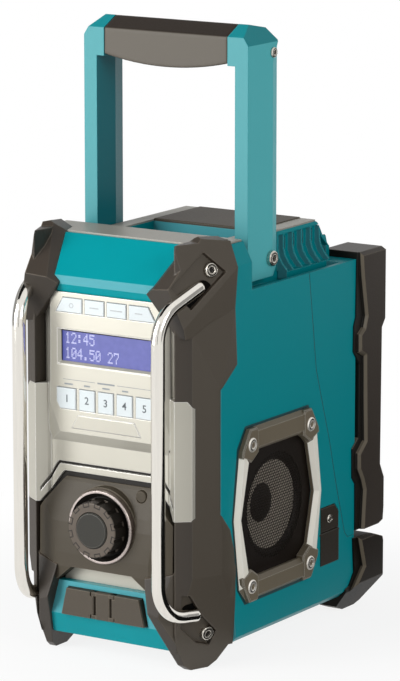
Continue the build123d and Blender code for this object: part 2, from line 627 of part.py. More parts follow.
preset_outlines = {
    "preset_key_1": [(-37.2, PRESET_LOW), (-24.4, PRESET_LOW), (-24.4, PRESET_HIGH),
                     (-40, PRESET_HIGH), (-40, 178)],
    "preset_key_2": [(-21.6, PRESET_LOW), (-8.9, PRESET_LOW), (-8.9, PRESET_HIGH),
                     (-21.6, PRESET_HIGH)],
    "preset_key_3": [(-6.2, PRESET_LOW), (6.2, PRESET_LOW), (6.2, PRESET_HIGH),
                     (-6.2, PRESET_HIGH)],
    "preset_key_4": [(8.9, PRESET_LOW), (21.6, PRESET_LOW), (21.6, PRESET_HIGH),
                     (8.9, PRESET_HIGH)],
    "preset_key_5": [(24.4, PRESET_LOW), (37.2, PRESET_LOW), (40, 178), (40, PRESET_HIGH),
                     (24.4, PRESET_HIGH)]}
KEY_FRONT = 1.2             # depth of the key faces, proud of the island
KEY_BACK = 7.0
FLANGE_FRONT = 5.35
display_half = [(39.7, 204), (39.7, 228.7)]
DISPLAY_GAP = 0.1
ROUND_X = 27.4
ROUND_Z = 119.5
ROUND_R = 4.0

with BuildPart() as island:
    with BuildSketch(front_view(BASE_DEPTH)):
        Polygon((0, 150), (56, 150), (56, 253.8), (0, 253.8), align=None)
    extrude(amount=BASE_DEPTH - ISLAND_DEPTH)
    for cut in (island_low, island_corner, island_side):
        split(bisect_by=cut, keep=Keep.BOTTOM)
    mirror(about=Plane.YZ)

with BuildPart() as fascia:
    with BuildSketch(plan_view(53.6)):
        Polygon(*both_sides(panel_plan), align=None)
    extrude(amount=200.2)
    add(island.part)
    add(wing.part)
    add(flipped(wing.part))
    with BuildSketch(front_view(12)):
        Polygon(*both_sides([(37, 159.5), (43.4, 176), (43.4, 252)]), align=None)
    extrude(amount=12 - SKIN_BACK, mode=Mode.SUBTRACT)
    with BuildSketch(front_view(12)):
        Polygon(*both_sides([(33, 79), (33, 125.6)]), align=None)
    extrude(amount=6, mode=Mode.SUBTRACT)
    with BuildSketch(front_view(20)):
        Polygon(*both_sides(display_half), align=None)
        offset(amount=DISPLAY_GAP)
    extrude(amount=25, mode=Mode.SUBTRACT)
    for outline in [*mode_key_outlines.values(), *preset_outlines.values()]:
        with BuildSketch(front_view(9)):
            Polygon(*outline, align=None)
            offset(amount=KEY_GAP, kind=Kind.INTERSECTION)
        extrude(amount=12, mode=Mode.SUBTRACT)
    with BuildSketch(front_view(POCKET_DEPTH)):
        Polygon(*both_sides(pocket_half), align=None)
        Polygon((-24.7, 65.5), (24.7, 65.5), (37, 55.5), (37, 50), (-37, 50), (-37, 55.5),
                align=None, mode=Mode.SUBTRACT)
    extrude(amount=15, mode=Mode.SUBTRACT)
    with BuildSketch(front_view(BASE_DEPTH + 1.6)):
        Polygon(*both_sides(groove_outer), align=None)
        Polygon(*both_sides(groove_inner), align=None, mode=Mode.SUBTRACT)
    extrude(amount=10, mode=Mode.SUBTRACT)
    add(front_bumper_right.part, mode=Mode.SUBTRACT)
    add(front_bumper_left.part, mode=Mode.SUBTRACT)
    add(cabinet_form, mode=Mode.SUBTRACT)

with BuildPart() as display_lens:
    with BuildSketch(front_view(4.6)):
        Polygon(*both_sides(display_half), align=None)
    extrude(amount=3.0)
    chamfer(display_lens.faces().sort_by(Axis.Y)[0].edges(), 0.6)

with BuildPart() as display_module:
    with BuildSketch(front_view(8.2)):
        Polygon(*both_sides([(38, 205.2), (38, 227.4)]), align=None)
    extrude(amount=3.5)


def panel_key(outline):
    """Key that shows through the panel skin, with a wider foot behind it."""
    with BuildPart() as key:
        with BuildSketch(front_view(KEY_BACK)):
            Polygon(*outline, align=None)
        extrude(amount=KEY_BACK - KEY_FRONT)
        chamfer(key.faces().sort_by(Axis.Y)[0].edges(), 0.5)
        with BuildSketch(front_view(KEY_BACK)):
            Polygon(*outline, align=None)
            offset(amount=0.85, kind=Kind.INTERSECTION)
        extrude(amount=KEY_BACK - FLANGE_FRONT)
    return key.part


# ---- control panel, bezel and knob ---------------------------------------------------------------
BEZEL_R = 25.6
BEZEL_IN = 20.8
DIAL_R = 20.2
DIAL_FRONT = -16.0
DIAL_BACK = -3.4
CAP_R = 12.3
SPINDLE_R = 3.0
NOTCHES = 12
ENCODER_DEPTH = 10.6        # face of the board behind the control panel

with BuildPart() as control_panel:
    with BuildSketch(front_view(POCKET_DEPTH)):
        Polygon(*control_outline, align=None)
    extrude(amount=15)
    with BuildSketch(side_view(-60)):
        Polygon((9, 50), (9, 127), (6.5, 126), (4.8, 123), (1.7, 113), (-0.9, 105), (-3, 96),
                (-4.1, 85), (-4.8, 75), (-5, 65), (-3, 51), align=None)
    extrude(amount=120, mode=Mode.INTERSECT)
    for side in (1, -1):
        near = spot(side * 38, -5, 65)
        far = spot(side * 54.2, 0.4, 64)
        up = spot(side * 54.2, 1.2, 103)
        split(bisect_by=facet(near, far, up) if side > 0 else facet(near, up, far),
              keep=Keep.BOTTOM)
    with BuildSketch(front_view(POCKET_DEPTH)):
        with Locations((0, KNOB_Z)):
            Circle(BEZEL_R + 1.2)
    extrude(amount=POCKET_DEPTH - KNOB_DEPTH)
    with BuildSketch(front_view(KNOB_DEPTH)):
        with Locations((0, KNOB_Z)):
            Circle(BEZEL_R)
    extrude(amount=10, mode=Mode.SUBTRACT)
    with BuildSketch(front_view(POCKET_DEPTH + 2)):
        with Locations((0, KNOB_Z)):
            Circle(4.5)
        with Locations((ROUND_X, ROUND_Z)):
            Circle(ROUND_R + KEY_GAP)
    extrude(amount=18, mode=Mode.SUBTRACT)
    add(front_bumper_right.part, mode=Mode.SUBTRACT)
    add(front_bumper_left.part, mode=Mode.SUBTRACT)
    add(cabinet_form, mode=Mode.SUBTRACT)

with BuildPart() as knob_bezel:
    with BuildSketch(front_view(KNOB_DEPTH)):
        with Locations((0, KNOB_Z)):
            Circle(BEZEL_R)
            Circle(BEZEL_IN, mode=Mode.SUBTRACT)
    extrude(amount=4.5)
    chamfer(knob_bezel.faces().sort_by(Axis.Y)[0].outer_wire().edges(), 1.5)

with BuildPart() as knob_dial:
    with BuildSketch(front_view(DIAL_BACK)):
        with Locations((0, KNOB_Z)):
            Circle(DIAL_R)
    extrude(amount=DIAL_BACK - DIAL_FRONT, taper=5)
    fillet(knob_dial.faces().sort_by(Axis.Y)[0].edges(), 1.2)
    with BuildSketch(front_view(-7)):
        with Locations((0, KNOB_Z)):
            Circle(CAP_R + 0.4)
    extrude(amount=12, mode=Mode.SUBTRACT)
    with BuildSketch(front_view(-6)):
        with Locations((0, KNOB_Z)):
            with PolarLocations(DIAL_R + 0.2, NOTCHES, start_angle=15):
                Circle(1.9)
    extrude(amount=12, mode=Mode.SUBTRACT)
    with BuildSketch(front_view(9.6)):
        with Locations((0, KNOB_Z)):
            Circle(SPINDLE_R)
    extrude(amount=9.6 - DIAL_BACK)

with BuildPart() as knob_cap:
    with BuildSketch(front_view(-8.4)):
        with Locations((0, KNOB_Z)):
            Circle(CAP_R)
    extrude(amount=8.8)
    chamfer(knob_cap.faces().sort_by(Axis.Y)[0].edges(), 0.8)

with BuildPart() as encoder:
    with BuildSketch(front_view(ENCODER_DEPTH + 1.6)):
        Polygon(*both_sides([(32, 80), (32, 125)]), align=None)
    extrude(amount=1.6)
    with BuildSketch(front_view(ENCODER_DEPTH)):
        with Locations((0, KNOB_Z)):
            Rectangle(14, 14)
    extrude(amount=ENCODER_DEPTH - POCKET_DEPTH - 0.05)
    with BuildSketch(front_view(POCKET_DEPTH + 1)):
        with Locations((0, KNOB_Z)):
            Circle(4.4)
    extrude(amount=POCKET_DEPTH + 1 - KNOB_DEPTH - 0.3)
    with BuildSketch(front_view(9.9)):
        with Locations((0, KNOB_Z)):
            Circle(SPINDLE_R + FIT)
    extrude(amount=14, mode=Mode.SUBTRACT)

with BuildPart() as round_button:
    with BuildSketch(front_view(9.2)):
        with Locations((ROUND_X, ROUND_Z)):
            Circle(ROUND_R)
    extrude(amount=6.6)
    fillet(round_button.faces().sort_by(Axis.Y)[0].edges(), 0.6)
    with BuildSketch(front_view(9.2)):
        with Locations((ROUND_X, ROUND_Z)):
            Circle(ROUND_R + 1)
    extrude(amount=0.85)

# ---- boards and jacks inside the cabinet -----------------------------------------------------------
with BuildPart() as key_board:
    with BuildSketch(front_view(9.9)):
        Polygon(*both_sides([(38.5, 167), (42, 176), (42, 246), (38, 247.5)]), align=None)
    extrude(amount=1.5)

with BuildPart() as main_board:
    with BuildSketch(front_view(22)):
        Polygon(*both_sides([(46, 62), (46, 205)]), align=None)
    extrude(amount=1.6)
    with BuildSketch(front_view(20.4)):
        with Locations((-20, 150), (18, 168), (10, 110)):
            Rectangle(16, 16)
        with Locations((-32, 96), (34, 140), (-6, 190)):
            Circle(5)
    extrude(amount=5)

with BuildPart() as usb_jack:
    with BuildSketch(front_view(17)):
        with Locations((-21, 40)):
            Rectangle(14.6, 7.6)
    extrude(amount=14.6)
    with BuildSketch(front_view(14)):
        with Locations((-21, 40)):
            Rectangle(13.2, 6.2)
        with Locations((-21, 38.4)):
            Rectangle(11.2, 1.8, mode=Mode.SUBTRACT)
    extrude(amount=12, mode=Mode.SUBTRACT)

with BuildPart() as aux_jack:
    with BuildSketch(front_view(17)):
        with Locations((21, 40)):
            Circle(4.1)
    extrude(amount=13.6)
    with BuildSketch(front_view(16)):
        with Locations((21, 40)):
            Circle(1.8)
    extrude(amount=14, mode=Mode.SUBTRACT)

with BuildPart() as power_jack:
    with BuildSketch(side_view(58)):
        with Locations((169, 54)):
            Circle(4.95)
    extrude(amount=15)
    with BuildSketch(side_view(61)):
        with Locations((169, 54)):
            Circle(3)
            Circle(1, mode=Mode.SUBTRACT)
    extrude(amount=13, mode=Mode.SUBTRACT)

# ---- port covers and their keeper -------------------------------------------------------------------
with BuildPart() as cover_keeper:
    with BuildSketch(front_view(5.4)):
        Polygon(*both_sides([(6.0, PORT_LOW + 0.1), (6.0, PORT_HIGH - 0.1)]), align=None)
    extrude(amount=9.2)
    chamfer(cover_keeper.faces().sort_by(Axis.Y)[0].edges(), 0.8)
    for low, tall in PORT_EARS:
        for side in (1, -1):
            with BuildSketch(plan_view(low)):
                with Locations((side * PORT_HINGE_X, PORT_HINGE_DEPTH)):
                    Circle(PORT_EAR_R)
                Polygon((side * 5, PORT_HINGE_DEPTH - 0.9), (side * PORT_HINGE_X,
                        PORT_HINGE_DEPTH - PORT_EAR_R), (side * PORT_HINGE_X,
                        PORT_HINGE_DEPTH + PORT_EAR_R), (side * 5,
                        PORT_HINGE_DEPTH + PORT_EAR_R), align=None)
                with Locations((side * PORT_HINGE_X, PORT_HINGE_DEPTH)):
                    Circle(STUB_R + FIT, mode=Mode.SUBTRACT)
            extrude(amount=tall)

with BuildPart() as port_cover_right:
    with BuildSketch(front_view(1.6)):
        Polygon((PORT_HINGE_X, PORT_LOW + 0.4), (34.2, PORT_LOW + 0.4), (29.9, PORT_HIGH - 0.4),
                (PORT_HINGE_X, PORT_HIGH - 0.4), align=None)
    extrude(amount=5.6)
    chamfer(port_cover_right.faces().sort_by(Axis.Y)[0].edges().sort_by(Axis.X)[-1], 0.8)
    with BuildSketch(plan_view(PORT_LOW + 0.4)):
        with Locations((PORT_HINGE_X, PORT_HINGE_DEPTH)):
            Circle(PORT_EAR_R)
    extrude(amount=PORT_HIGH - PORT_LOW - 0.8)
    for low, tall in PORT_EARS:
        with BuildSketch(plan_view(low - 0.5)):
            Polygon((0, -6), (PORT_HINGE_X + PORT_EAR_R + 0.35, -6),
                    (PORT_HINGE_X + PORT_EAR_R + 0.35, 4), (0, 4), align=None)
        extrude(amount=tall + 0.85, mode=Mode.SUBTRACT)
    with BuildSketch(plan_view(PORT_EARS[0][0])):
        with Locations((PORT_HINGE_X, PORT_HINGE_DEPTH)):
            Circle(STUB_R)
    extrude(amount=PORT_EARS[1][0] + PORT_EARS[1][1] - PORT_EARS[0][0])
with BuildPart() as port_cover_left:
    add(flipped(port_cover_right.part))

with BuildPart() as inlet_cover_tab:
    with BuildSketch(side_view(73.5)):
        Polygon((157, 68), (157, 85.6), (175.6, 85.6), (181, 79.6), (181, 68), align=None)
    extrude(amount=3)
    chamfer(inlet_cover_tab.faces().sort_by(Axis.X)[-1].edges(), 0.6)
    with BuildSketch(side_view(70)):
        with Locations((168, 76.5)):
            Circle(1.5 + FIT)
    extrude(amount=8, mode=Mode.SUBTRACT)

with BuildPart() as inlet_cover_flap:
    with BuildSketch(side_view(74.1)):
        Polygon((157, 44), (157, INLET_HINGE_Z), (181, INLET_HINGE_Z), (181, 44), align=None)
    extrude(amount=2.4)
    with BuildSketch(Plane(origin=spot(INLET_HINGE_X, 157, INLET_HINGE_Z), z_dir=(0, 1, 0))):
        Circle(1.2)
    extrude(amount=24)
    with BuildSketch(Plane(origin=spot(INLET_HINGE_X, 155.5, INLET_HINGE_Z), z_dir=(0, 1, 0))):
        Circle(STUB_R)
    extrude(amount=27)

# ---- battery bay -------------------------------------------------------------------------------------
with BuildPart() as battery_tub:
    with BuildSketch(front_view(REAR_DEPTH - WALL)):
        Polygon(*both_sides([(47, 64), (47, 237)]), align=None)
    extrude(amount=REAR_DEPTH - WALL - 152)
    with BuildSketch(front_view(REAR_DEPTH)):
        Polygon(*both_sides([(45, 66), (45, 235)]), align=None)
    extrude(amount=REAR_DEPTH - 154, mode=Mode.SUBTRACT)

with BuildPart() as terminal_block:
    with BuildSketch(front_view(172)):
        Polygon(*both_sides([(16, 196), (16, 222)]), align=None)
    extrude(amount=18)
    for x in (-9, 0, 9):
        with BuildSketch(front_view(178)):
            with Locations((x, 209)):
                Rectangle(1.4, 14)
        extrude(amount=7)

with BuildPart() as door_hinge_pin:
    with BuildSketch(side_view(-42.2)):
        with Locations((HINGE_DEPTH, HINGE_Z)):
            Circle(PIN_R)
    extrude(amount=84.4)

with BuildPart() as battery_door:
    with BuildSketch(front_view(DOOR_DEPTH + DOOR_T)):
        Polygon(*both_sides([(DOOR_X, DOOR_LOW), (DOOR_X, DOOR_HIGH)]), align=None)
    extrude(amount=DOOR_T)
    with BuildSketch(front_view(DOOR_DEPTH + DOOR_T)):
        Polygon(*both_sides([(36, 82), (36, 196)]), align=None)
    extrude(amount=-1.2, taper=30)
    with BuildSketch(side_view(-29)):
        with Locations((HINGE_DEPTH, HINGE_Z)):
            Circle(3.2)
        Polygon((222.4, HINGE_Z), (222.4, 70), (DOOR_DEPTH + DOOR_T, 70), (228.8, HINGE_Z),
                align=None)
        with Locations((HINGE_DEPTH, HINGE_Z)):
            Circle(PIN_R + FIT, mode=Mode.SUBTRACT)
    extrude(amount=58)
    with BuildSketch(front_view(230)):
        Polygon(*both_sides([(5.4, 208.5), (5.4, 224.4)]), align=None)
    extrude(amount=12, mode=Mode.SUBTRACT)

with BuildPart() as door_latch:
    with BuildSketch(front_view(226.8)):
        Polygon(*both_sides([(11, 213), (11, 227)]), align=None)
    extrude(amount=3.0)
    chamfer(door_latch.faces().sort_by(Axis.Y)[-1].edges(), 0.8)
    with BuildSketch(front_view(224)):
        Polygon(*both_sides([(5, 213), (5, 224)]), align=None)
    extrude(amount=8)
    with BuildSketch(front_view(219.1)):
        Polygon(*both_sides([(8, 213), (8, 234.1)]), align=None)
    extrude(amount=3.1)

# ---- speakers ---------------------------------------------------------------------------------------
with BuildPart() as speaker_frame_right:
    with BuildSketch(side_view(FRAME_X)):
        Polygon(*speaker_outline(frame_half), align=None)
    extrude(amount=FRAME_TOP - FRAME_X)
    chamfer(speaker_frame_right.faces().sort_by(Axis.X)[-1].edges(), 2.2)
    with BuildSketch(side_view(FRAME_X)):
        Polygon(*speaker_outline(window_half), align=None)
    extrude(amount=12, taper=-18, mode=Mode.SUBTRACT)
    for depth, height in frame_screw_spots:
        with BuildSketch(side_view(FRAME_X)):
            with Locations((depth, height)):
                Circle(FRAME_SCREW[2] + FIT)
        extrude(amount=12, mode=Mode.SUBTRACT)
        with BuildSketch(side_view(FRAME_TOP - 3)):
            with Locations((depth, height)):
                Circle(4.4)
        extrude(amount=6, mode=Mode.SUBTRACT)
with BuildPart() as speaker_frame_left:
    add(flipped(speaker_frame_right.part))

with BuildPart() as speaker_grille_right:
    with BuildSketch(side_view(PLATE_X)):
        Polygon(*speaker_outline(plate_half), align=None)
        with Locations((SPEAKER_DEPTH, SPEAKER_Z)):
            with HexLocations(2.7, 12, 12):
                Circle(1.7, mode=Mode.SUBTRACT)
    extrude(amount=1.5)
with BuildPart() as speaker_grille_left:
    add(flipped(speaker_grille_right.part))

with BuildPart() as speaker_driver_right:
    with BuildSketch(plan_view(SPEAKER_Z)):
        Polygon((36, 98), (36, 120), (46, 120), (46, 112), (52, 114), (63, 131), (64, 138),
                (67, 138), (67, 130), (57, 111), (59.5, 106), (60.5, 98), align=None)
    revolve(axis=Axis(origin=spot(0, SPEAKER_DEPTH, SPEAKER_Z), direction=(1, 0, 0)))
with BuildPart() as speaker_driver_left:
    add(flipped(speaker_driver_right.part))

# ---- handle ---------------------------------------------------------------------------------------------
arm_plan = [(ARM_IN, 75), (ARM_OUT, 75), (ARM_OUT, 106.8), (64, 115.5), (61, 114),
            (ARM_IN, 97.7)]
bar_profile = [(75, 405), (75, GRIP_Z), (89.3, 431.9), (107, 428.5), (113.5, 420), (106, 404)]
core_profile = [(81, 410), (81, 420.5), (91, 426), (104, 423.5), (107, 419), (102, 409)]
grip_profile = [(75, 400.5), (75, GRIP_Z), (89.3, 431.9), (107, 428.5), (113.5, 420),
                (103, 400.5)]
GRIP_X = 50.0
arm_side = [(75, 258.5), (75, 425), (118, 432), (118, 266), (108, 258.5)]

with BuildPart() as handle_frame:
    with BuildSketch(plan_view(255)):
        Polygon(*arm_plan, align=None)
        Polygon(*[(-x, d) for x, d in reversed(arm_plan)], align=None)
    extrude(amount=160)
    with BuildSketch(side_view(-ARM_OUT)):
        Polygon(*arm_side, align=None)
    extrude(amount=2 * ARM_OUT, mode=Mode.INTERSECT)
    with BuildSketch(side_view(-ARM_OUT)):
        Polygon(*bar_profile, align=None)
    extrude(amount=2 * ARM_OUT)
    with BuildSketch(side_view(-GRIP_X)):
        Polygon((60, 390), (60, 440), (130, 440), (130, 390), align=None)
        Polygon(*core_profile, align=None, mode=Mode.SUBTRACT)
    extrude(amount=2 * GRIP_X, mode=Mode.SUBTRACT)
    for side in (1, -1):
        low = spot(side * ARM_OUT, 0, 419)
        high = spot(side * 58, 0, 432)
        back = spot(side * ARM_OUT, 10, 419)
        split(bisect_by=facet(low, back, high) if side > 0 else facet(low, high, back),
              keep=Keep.BOTTOM)
        with BuildSketch(side_view(side * 50)):
            with Locations((PIVOT_DEPTH, PIVOT_Z)):
                Circle(4 + FIT)
        extrude(amount=side * 20, mode=Mode.SUBTRACT)
        with BuildSketch(side_view(side * 58)):
            with Locations((106.5, 412)):
                Circle(1.6)
        extrude(amount=side * 10, mode=Mode.SUBTRACT)
    with BuildSketch(side_view(-55)):
        with Locations((92, 417)):
            Circle(2.3)
    extrude(amount=110, mode=Mode.SUBTRACT)

with BuildPart() as handle_grip:
    with BuildSketch(side_view(-GRIP_X + 0.05)):
        Polygon(*grip_profile, align=None)
    extrude(amount=2 * GRIP_X - 0.1)
    with BuildSketch(front_view(130)):
        with BuildLine():
            Line((-GRIP_X, 395), (GRIP_X, 395))
            Line((GRIP_X, 395), (GRIP_X, 406.5))
            ThreePointArc((GRIP_X, 406.5), (0, 400.6), (-GRIP_X, 406.5))
            Line((-GRIP_X, 406.5), (-GRIP_X, 395))
        make_face()
    extrude(amount=70, mode=Mode.SUBTRACT)
    with BuildSketch(side_view(-GRIP_X)):
        Polygon(*core_profile, align=None)
    extrude(amount=2 * GRIP_X, mode=Mode.SUBTRACT)

with BuildPart() as antenna_rod:
    with BuildSketch(side_view(-54)):
        with Locations((92, 417)):
            Circle(2)
    extrude(amount=108)

# ---- trims ------------------------------------------------------------------------------------------------
trim_half = [(71.2, 59.6), (71.2, 42.3), (54, 42.3), (53, 40.4), (48.2, 27.3)]
with BuildPart() as ledge_trim:
    with BuildSketch(plan_view(290.1)):
        Polygon(*both_sides(trim_half), align=None)
    extrude(amount=TRIM)
    add(front_bumper_right.part, mode=Mode.SUBTRACT)
    add(front_bumper_left.part, mode=Mode.SUBTRACT)

with BuildPart() as top_rails:
    with BuildSketch(plan_view(TOWER_Z)):
        for side in (1, -1):
            Polygon((side * 42.2, 86.2), (side * 53.8, 86.2), (side * 53.8, 183.8),
                    (side * 42.2, 183.8), align=None)
    extrude(amount=TRIM)

with BuildPart() as top_pad:
    with BuildSketch(plan_view(TOWER_Z)):
        Polygon(*both_sides([(41.9, 124.2), (41.9, 183.6)]), align=None)
    extrude(amount=PAD_T)
    chamfer(top_pad.faces().sort_by(Axis.Z)[-1].edges(), 0.6)

# ---- screws ---------------------------------------------------------------------------------------------------
with BuildPart() as bumper_screws:
    for plane in (upper_screw_plane, lower_screw_plane, *rear_screw_planes):
        screw = hex_screw(plane, *BUMPER_SCREW)
        add(screw)
        add(flipped(screw))

with BuildPart() as speaker_frame_screws:
    for depth, height in frame_screw_spots:
        screw = hex_screw(Plane(origin=spot(FRAME_TOP - 3, depth, height), z_dir=(1, 0, 0)),
                          *FRAME_SCREW)
        add(screw)
        add(flipped(screw))

with BuildPart() as handle_pivot_bolts:
    plane = Plane(origin=spot(ARM_OUT + CLEAR, PIVOT_DEPTH, PIVOT_Z), z_dir=(1, 0, 0))
    bolt = hex_screw(plane, 5.3, 3, 4, ARM_OUT - 44)
    add(bolt)
    add(flipped(bolt))

with BuildPart() as handle_screws:
    plane = Plane(origin=spot(ARM_OUT, 106.5, 412), z_dir=(1, 0, 0))
    bolt = hex_screw(plane, 3, 1.4, 1.6, 7)
    add(bolt)
    add(flipped(bolt))

with BuildPart() as inlet_screw:
    add(hex_screw(Plane(origin=spot(76.5, 168, 76.5), z_dir=(1, 0, 0)), 3, 1, 1.5, 8))

# ---- write every piece ---------------------------------------------------------------------------------------
pieces = {
    "front_cabinet": front_cabinet, "rear_cabinet": rear_cabinet, "ledge_trim": ledge_trim,
    "top_rails": top_rails, "top_pad": top_pad, "fascia": fascia,
    "display_lens": display_lens, "display_module": display_module,
    "control_panel": control_panel, "knob_bezel": knob_bezel, "knob_dial": knob_dial,
    "knob_cap": knob_cap, "encoder": encoder, "round_button": round_button,
    "front_bumper_right": front_bumper_right, "front_bumper_left": front_bumper_left,
    "guard_bar_right": guard_bar_right, "guard_bar_left": guard_bar_left,
    "rear_bumper_right": rear_bumper_right, "rear_bumper_left": rear_bumper_left,
    "rear_foot_right": rear_foot_right, "rear_foot_left": rear_foot_left,
    "speaker_frame_right": speaker_frame_right, "speaker_frame_left": speaker_frame_left,
    "speaker_grille_right": speaker_grille_right, "speaker_grille_left": speaker_grille_left,
    "speaker_driver_right": speaker_driver_right, "speaker_driver_left": speaker_driver_left,
    "handle_frame": handle_frame, "handle_grip": handle_grip, "antenna_rod": antenna_rod,
    "handle_pivot_bolts": handle_pivot_bolts, "handle_screws": handle_screws,
    "battery_door": battery_door, "door_hinge_pin": door_hinge_pin, "door_latch": door_latch,
    "battery_tub": battery_tub, "terminal_block": terminal_block, "key_board": key_board,
    "main_board": main_board, "usb_jack": usb_jack, "aux_jack": aux_jack,
    "power_jack": power_jack, "cover_keeper": cover_keeper,
    "port_cover_right": port_cover_right, "port_cover_left": port_cover_left,
    "inlet_cover_tab": inlet_cover_tab, "inlet_cover_flap": inlet_cover_flap,
    "inlet_screw": inlet_screw, "bumper_screws": bumper_screws,
    "speaker_frame_screws": speaker_frame_screws}
for label, builder in pieces.items():
    finish(builder, label)

for label, outline in {**mode_key_outlines, **preset_outlines}.items():
    with BuildPart() as key_builder:
        add(panel_key(outline))
    finish(key_builder, label)
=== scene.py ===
"""Looks of the jobsite radio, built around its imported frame."""

import math

import bmesh
import bpy
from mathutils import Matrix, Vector


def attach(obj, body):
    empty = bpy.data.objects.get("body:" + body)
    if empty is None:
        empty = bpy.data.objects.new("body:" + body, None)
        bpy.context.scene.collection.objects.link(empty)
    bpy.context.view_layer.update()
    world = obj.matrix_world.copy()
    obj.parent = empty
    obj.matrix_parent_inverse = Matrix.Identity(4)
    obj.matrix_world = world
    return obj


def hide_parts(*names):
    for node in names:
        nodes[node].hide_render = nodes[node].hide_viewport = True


bl_info = {
    "name": "Jobsite radio",
    "version": (1, 0, 0),
    "blender": (4, 5, 0),
    "location": "View3D > Sidebar > Radio",
    "description": "Builds the looks of a jobsite radio on its packed frame",
    "category": "Object",
}

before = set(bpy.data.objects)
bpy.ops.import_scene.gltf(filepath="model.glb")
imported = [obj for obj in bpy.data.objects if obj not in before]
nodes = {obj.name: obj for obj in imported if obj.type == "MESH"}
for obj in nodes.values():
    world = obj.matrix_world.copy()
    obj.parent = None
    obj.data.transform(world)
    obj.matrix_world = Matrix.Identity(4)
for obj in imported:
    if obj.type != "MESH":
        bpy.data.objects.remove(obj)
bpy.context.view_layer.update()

# Lengths are in millimetres, but the stage's are in metres. Depths count back from the front
# of the panel, and outlines seen from the front are (x, height) or from a side (depth, height).
SIDES = (("right", 1), ("left", -1))                # names, and signs of x
RIGHT, BACK, UP = Vector((1, 0, 0)), Vector((0, 1, 0)), Vector((0, 0, 1))
PANEL_FRONT = 109.0           # the panel's front, this far in front of the frame's origin
INK, SHEET = 0.03, 0.05       # thickness of what is printed, and of a thin dark inlay

SEAM = ((139.5, 256.4), (149.6, 186.5), (167.9, 133), (176.5, 102.6), (189.5, 62), (193.7, 57.7))
SEAM_OUT, SEAM_WIDTH, SEAM_THICK = 75.97, 0.5, 0.06

LOWER_BUMPER = Vector((0.9116, -0.3698, -0.1789))   # ways that the faces with the sockets look
UPPER_BUMPER = Vector((0.9117, -0.3696, 0.1795))
SOCKET_RADII, SOCKET_THICK = (7.6, 5.4), 1.5        # the near-black sheets of painted shade in the sockets

PLAQUE = [(-23, 170.3), (23, 170.3), (28.5, 160.4), (-28.5, 160.4)]
PLAQUE_DEPTH, PLAQUE_THICK = 1.45, 0.7
GAP_DEPTH, POCKET_DEPTH = 7.5, 7.85
GAP_INNER = [(54.1, 105), (54.1, 113.6), (42.1, 132.2), (40.8, 133.8)]
GAP_OUTER = [(54.1, 105), (54.1, 116.4), (43.5, 133.9), (41.5, 135.7)]
POCKET = [(44.2, 52.3), (54.1, 64.2), (54.1, 106.9), (39, 127.3), (37, 129.1)]
PANEL_INK = 1.97
# Left, right, low and high of the marks on the panel
MARKS = ((-35, -9, 193.8, 194.2), (9, 38, 193.8, 194.2), (-34, -27, 190.3, 191.4),
         (-18, -13, 190.3, 191.4), (-3, 3, 190.3, 191.4), (13, 18, 190.3, 191.4),
         (-7, 7, 193.4, 194.5))

KEY_INK = 1.16
HEXAGON = (-27.5, 1.19, 245.2)
HEXAGON_RADII = (1.3, 2.0)
DASHES = ((-12.6, -5.3), (4.2, 13.8), (24, 30))     # left and right of the other keys' marks
DASH_HEIGHTS = (244.8, 245.6)
PRESET_KEYS = (-31.5, -15.3, 0.0, 15.3, 31.5)
PRESET_HEIGHT = 180.6

SCREEN_DEPTH = 4.0
# Left, right, low and high
SCREEN_EDGE, SCREEN_PANEL = (-37.4, 37.6, 206.2, 227.8), (-37.3, 37.5, 206.3, 227.7)
SCREEN_DARK_STRIPS = ((-37.4, 37.6, 227.1, 227.8), (-37.4, -36.7, 206.2, 227.1))
SCREEN_LINES = (("12:45", 226.2), ("104.50 27", 215.8))     # text and height of its top
SCREEN_LEFT = -34.2
LETTER, DOT_ROW = 6, 1.35     # in dot pitches, as the next ones: from letter or row to the next
DOT_WIDTH, DOT_HEIGHT = 0.7, 1.2
DOTS = {
    "0": "01110 10001 10011 10101 11001 10001 01110",
    "1": "00100 01100 00100 00100 00100 00100 01110",
    "2": "01110 10001 00001 00010 00100 01000 11111",
    "4": "00010 00110 01010 10010 11111 00010 00010",
    "5": "11111 10000 11110 00001 00001 10001 01110",
    "7": "11111 10001 00001 00010 00100 00100 00100",
    ".": "00000 00000 00000 00000 00000 01100 01100",
    ":": "00000 01100 01100 00000 01100 01100 00000",
    " ": "",
}

KNOB_HEIGHT = 96.5
BEZEL_DEPTH, CROWN_DEPTH = -2, -16.04

SPEAKER_DEPTH, SPEAKER_HEIGHT = 98.0, 101.0
FRAME_HEIGHT = 101.5          # height that a speaker frame grows and mirrors about
WINDOW_HEIGHT = 100.75        # height that the grille's outline grows about
FRAME_OUTLINE = [(40, 41.5), (49, 51), (56, 101), (49, 148), (40, 162)]
FRAME_OPENING = [(31, 56), (40, 64.5), (49.2, 101), (40, 137.5), (31, 146)]
FRAME_CORNER = [(40, 162), (49, 148), (49.8, 143.5), (38.5, 138.8), (29.5, 144.5),
                (29.5, 159.5), (31, 162)]
CORNER_OUT, CORNER_THICK, CORNER_ROUND = 74.1, 6.2, 0.9
FRAME_SCREW = (80.2, 38.2, 49.5)                    # outwards, and from the frame's middle
# Outline of the painted shadow around a speaker frame
FRAME_SHADOW = [(40, 41), (49.8, 53), (50.4, 60), (56, 101), (50.4, 143), (49.8, 148.5), (40, 162)]
WINDOW = [(31, 56), (40, 64.5), (49, 101), (40, 137.5), (31, 146)]
PLATE_OUT, PLATE_REACH, HOLES_REACH, PLATE_THICK = 73.65, 52, 37, 0.3
DRIVER_OUT = 70.4


# ---- units, colours and nodes --------------------------------------------------------------
def mm(length):
    """Length in metres of a length in millimetres."""
    return length / 1000


def spot(x, depth, height):
    """Point in metres from millimetres."""
    return Vector((x, depth - PANEL_FRONT, height)) / 1000


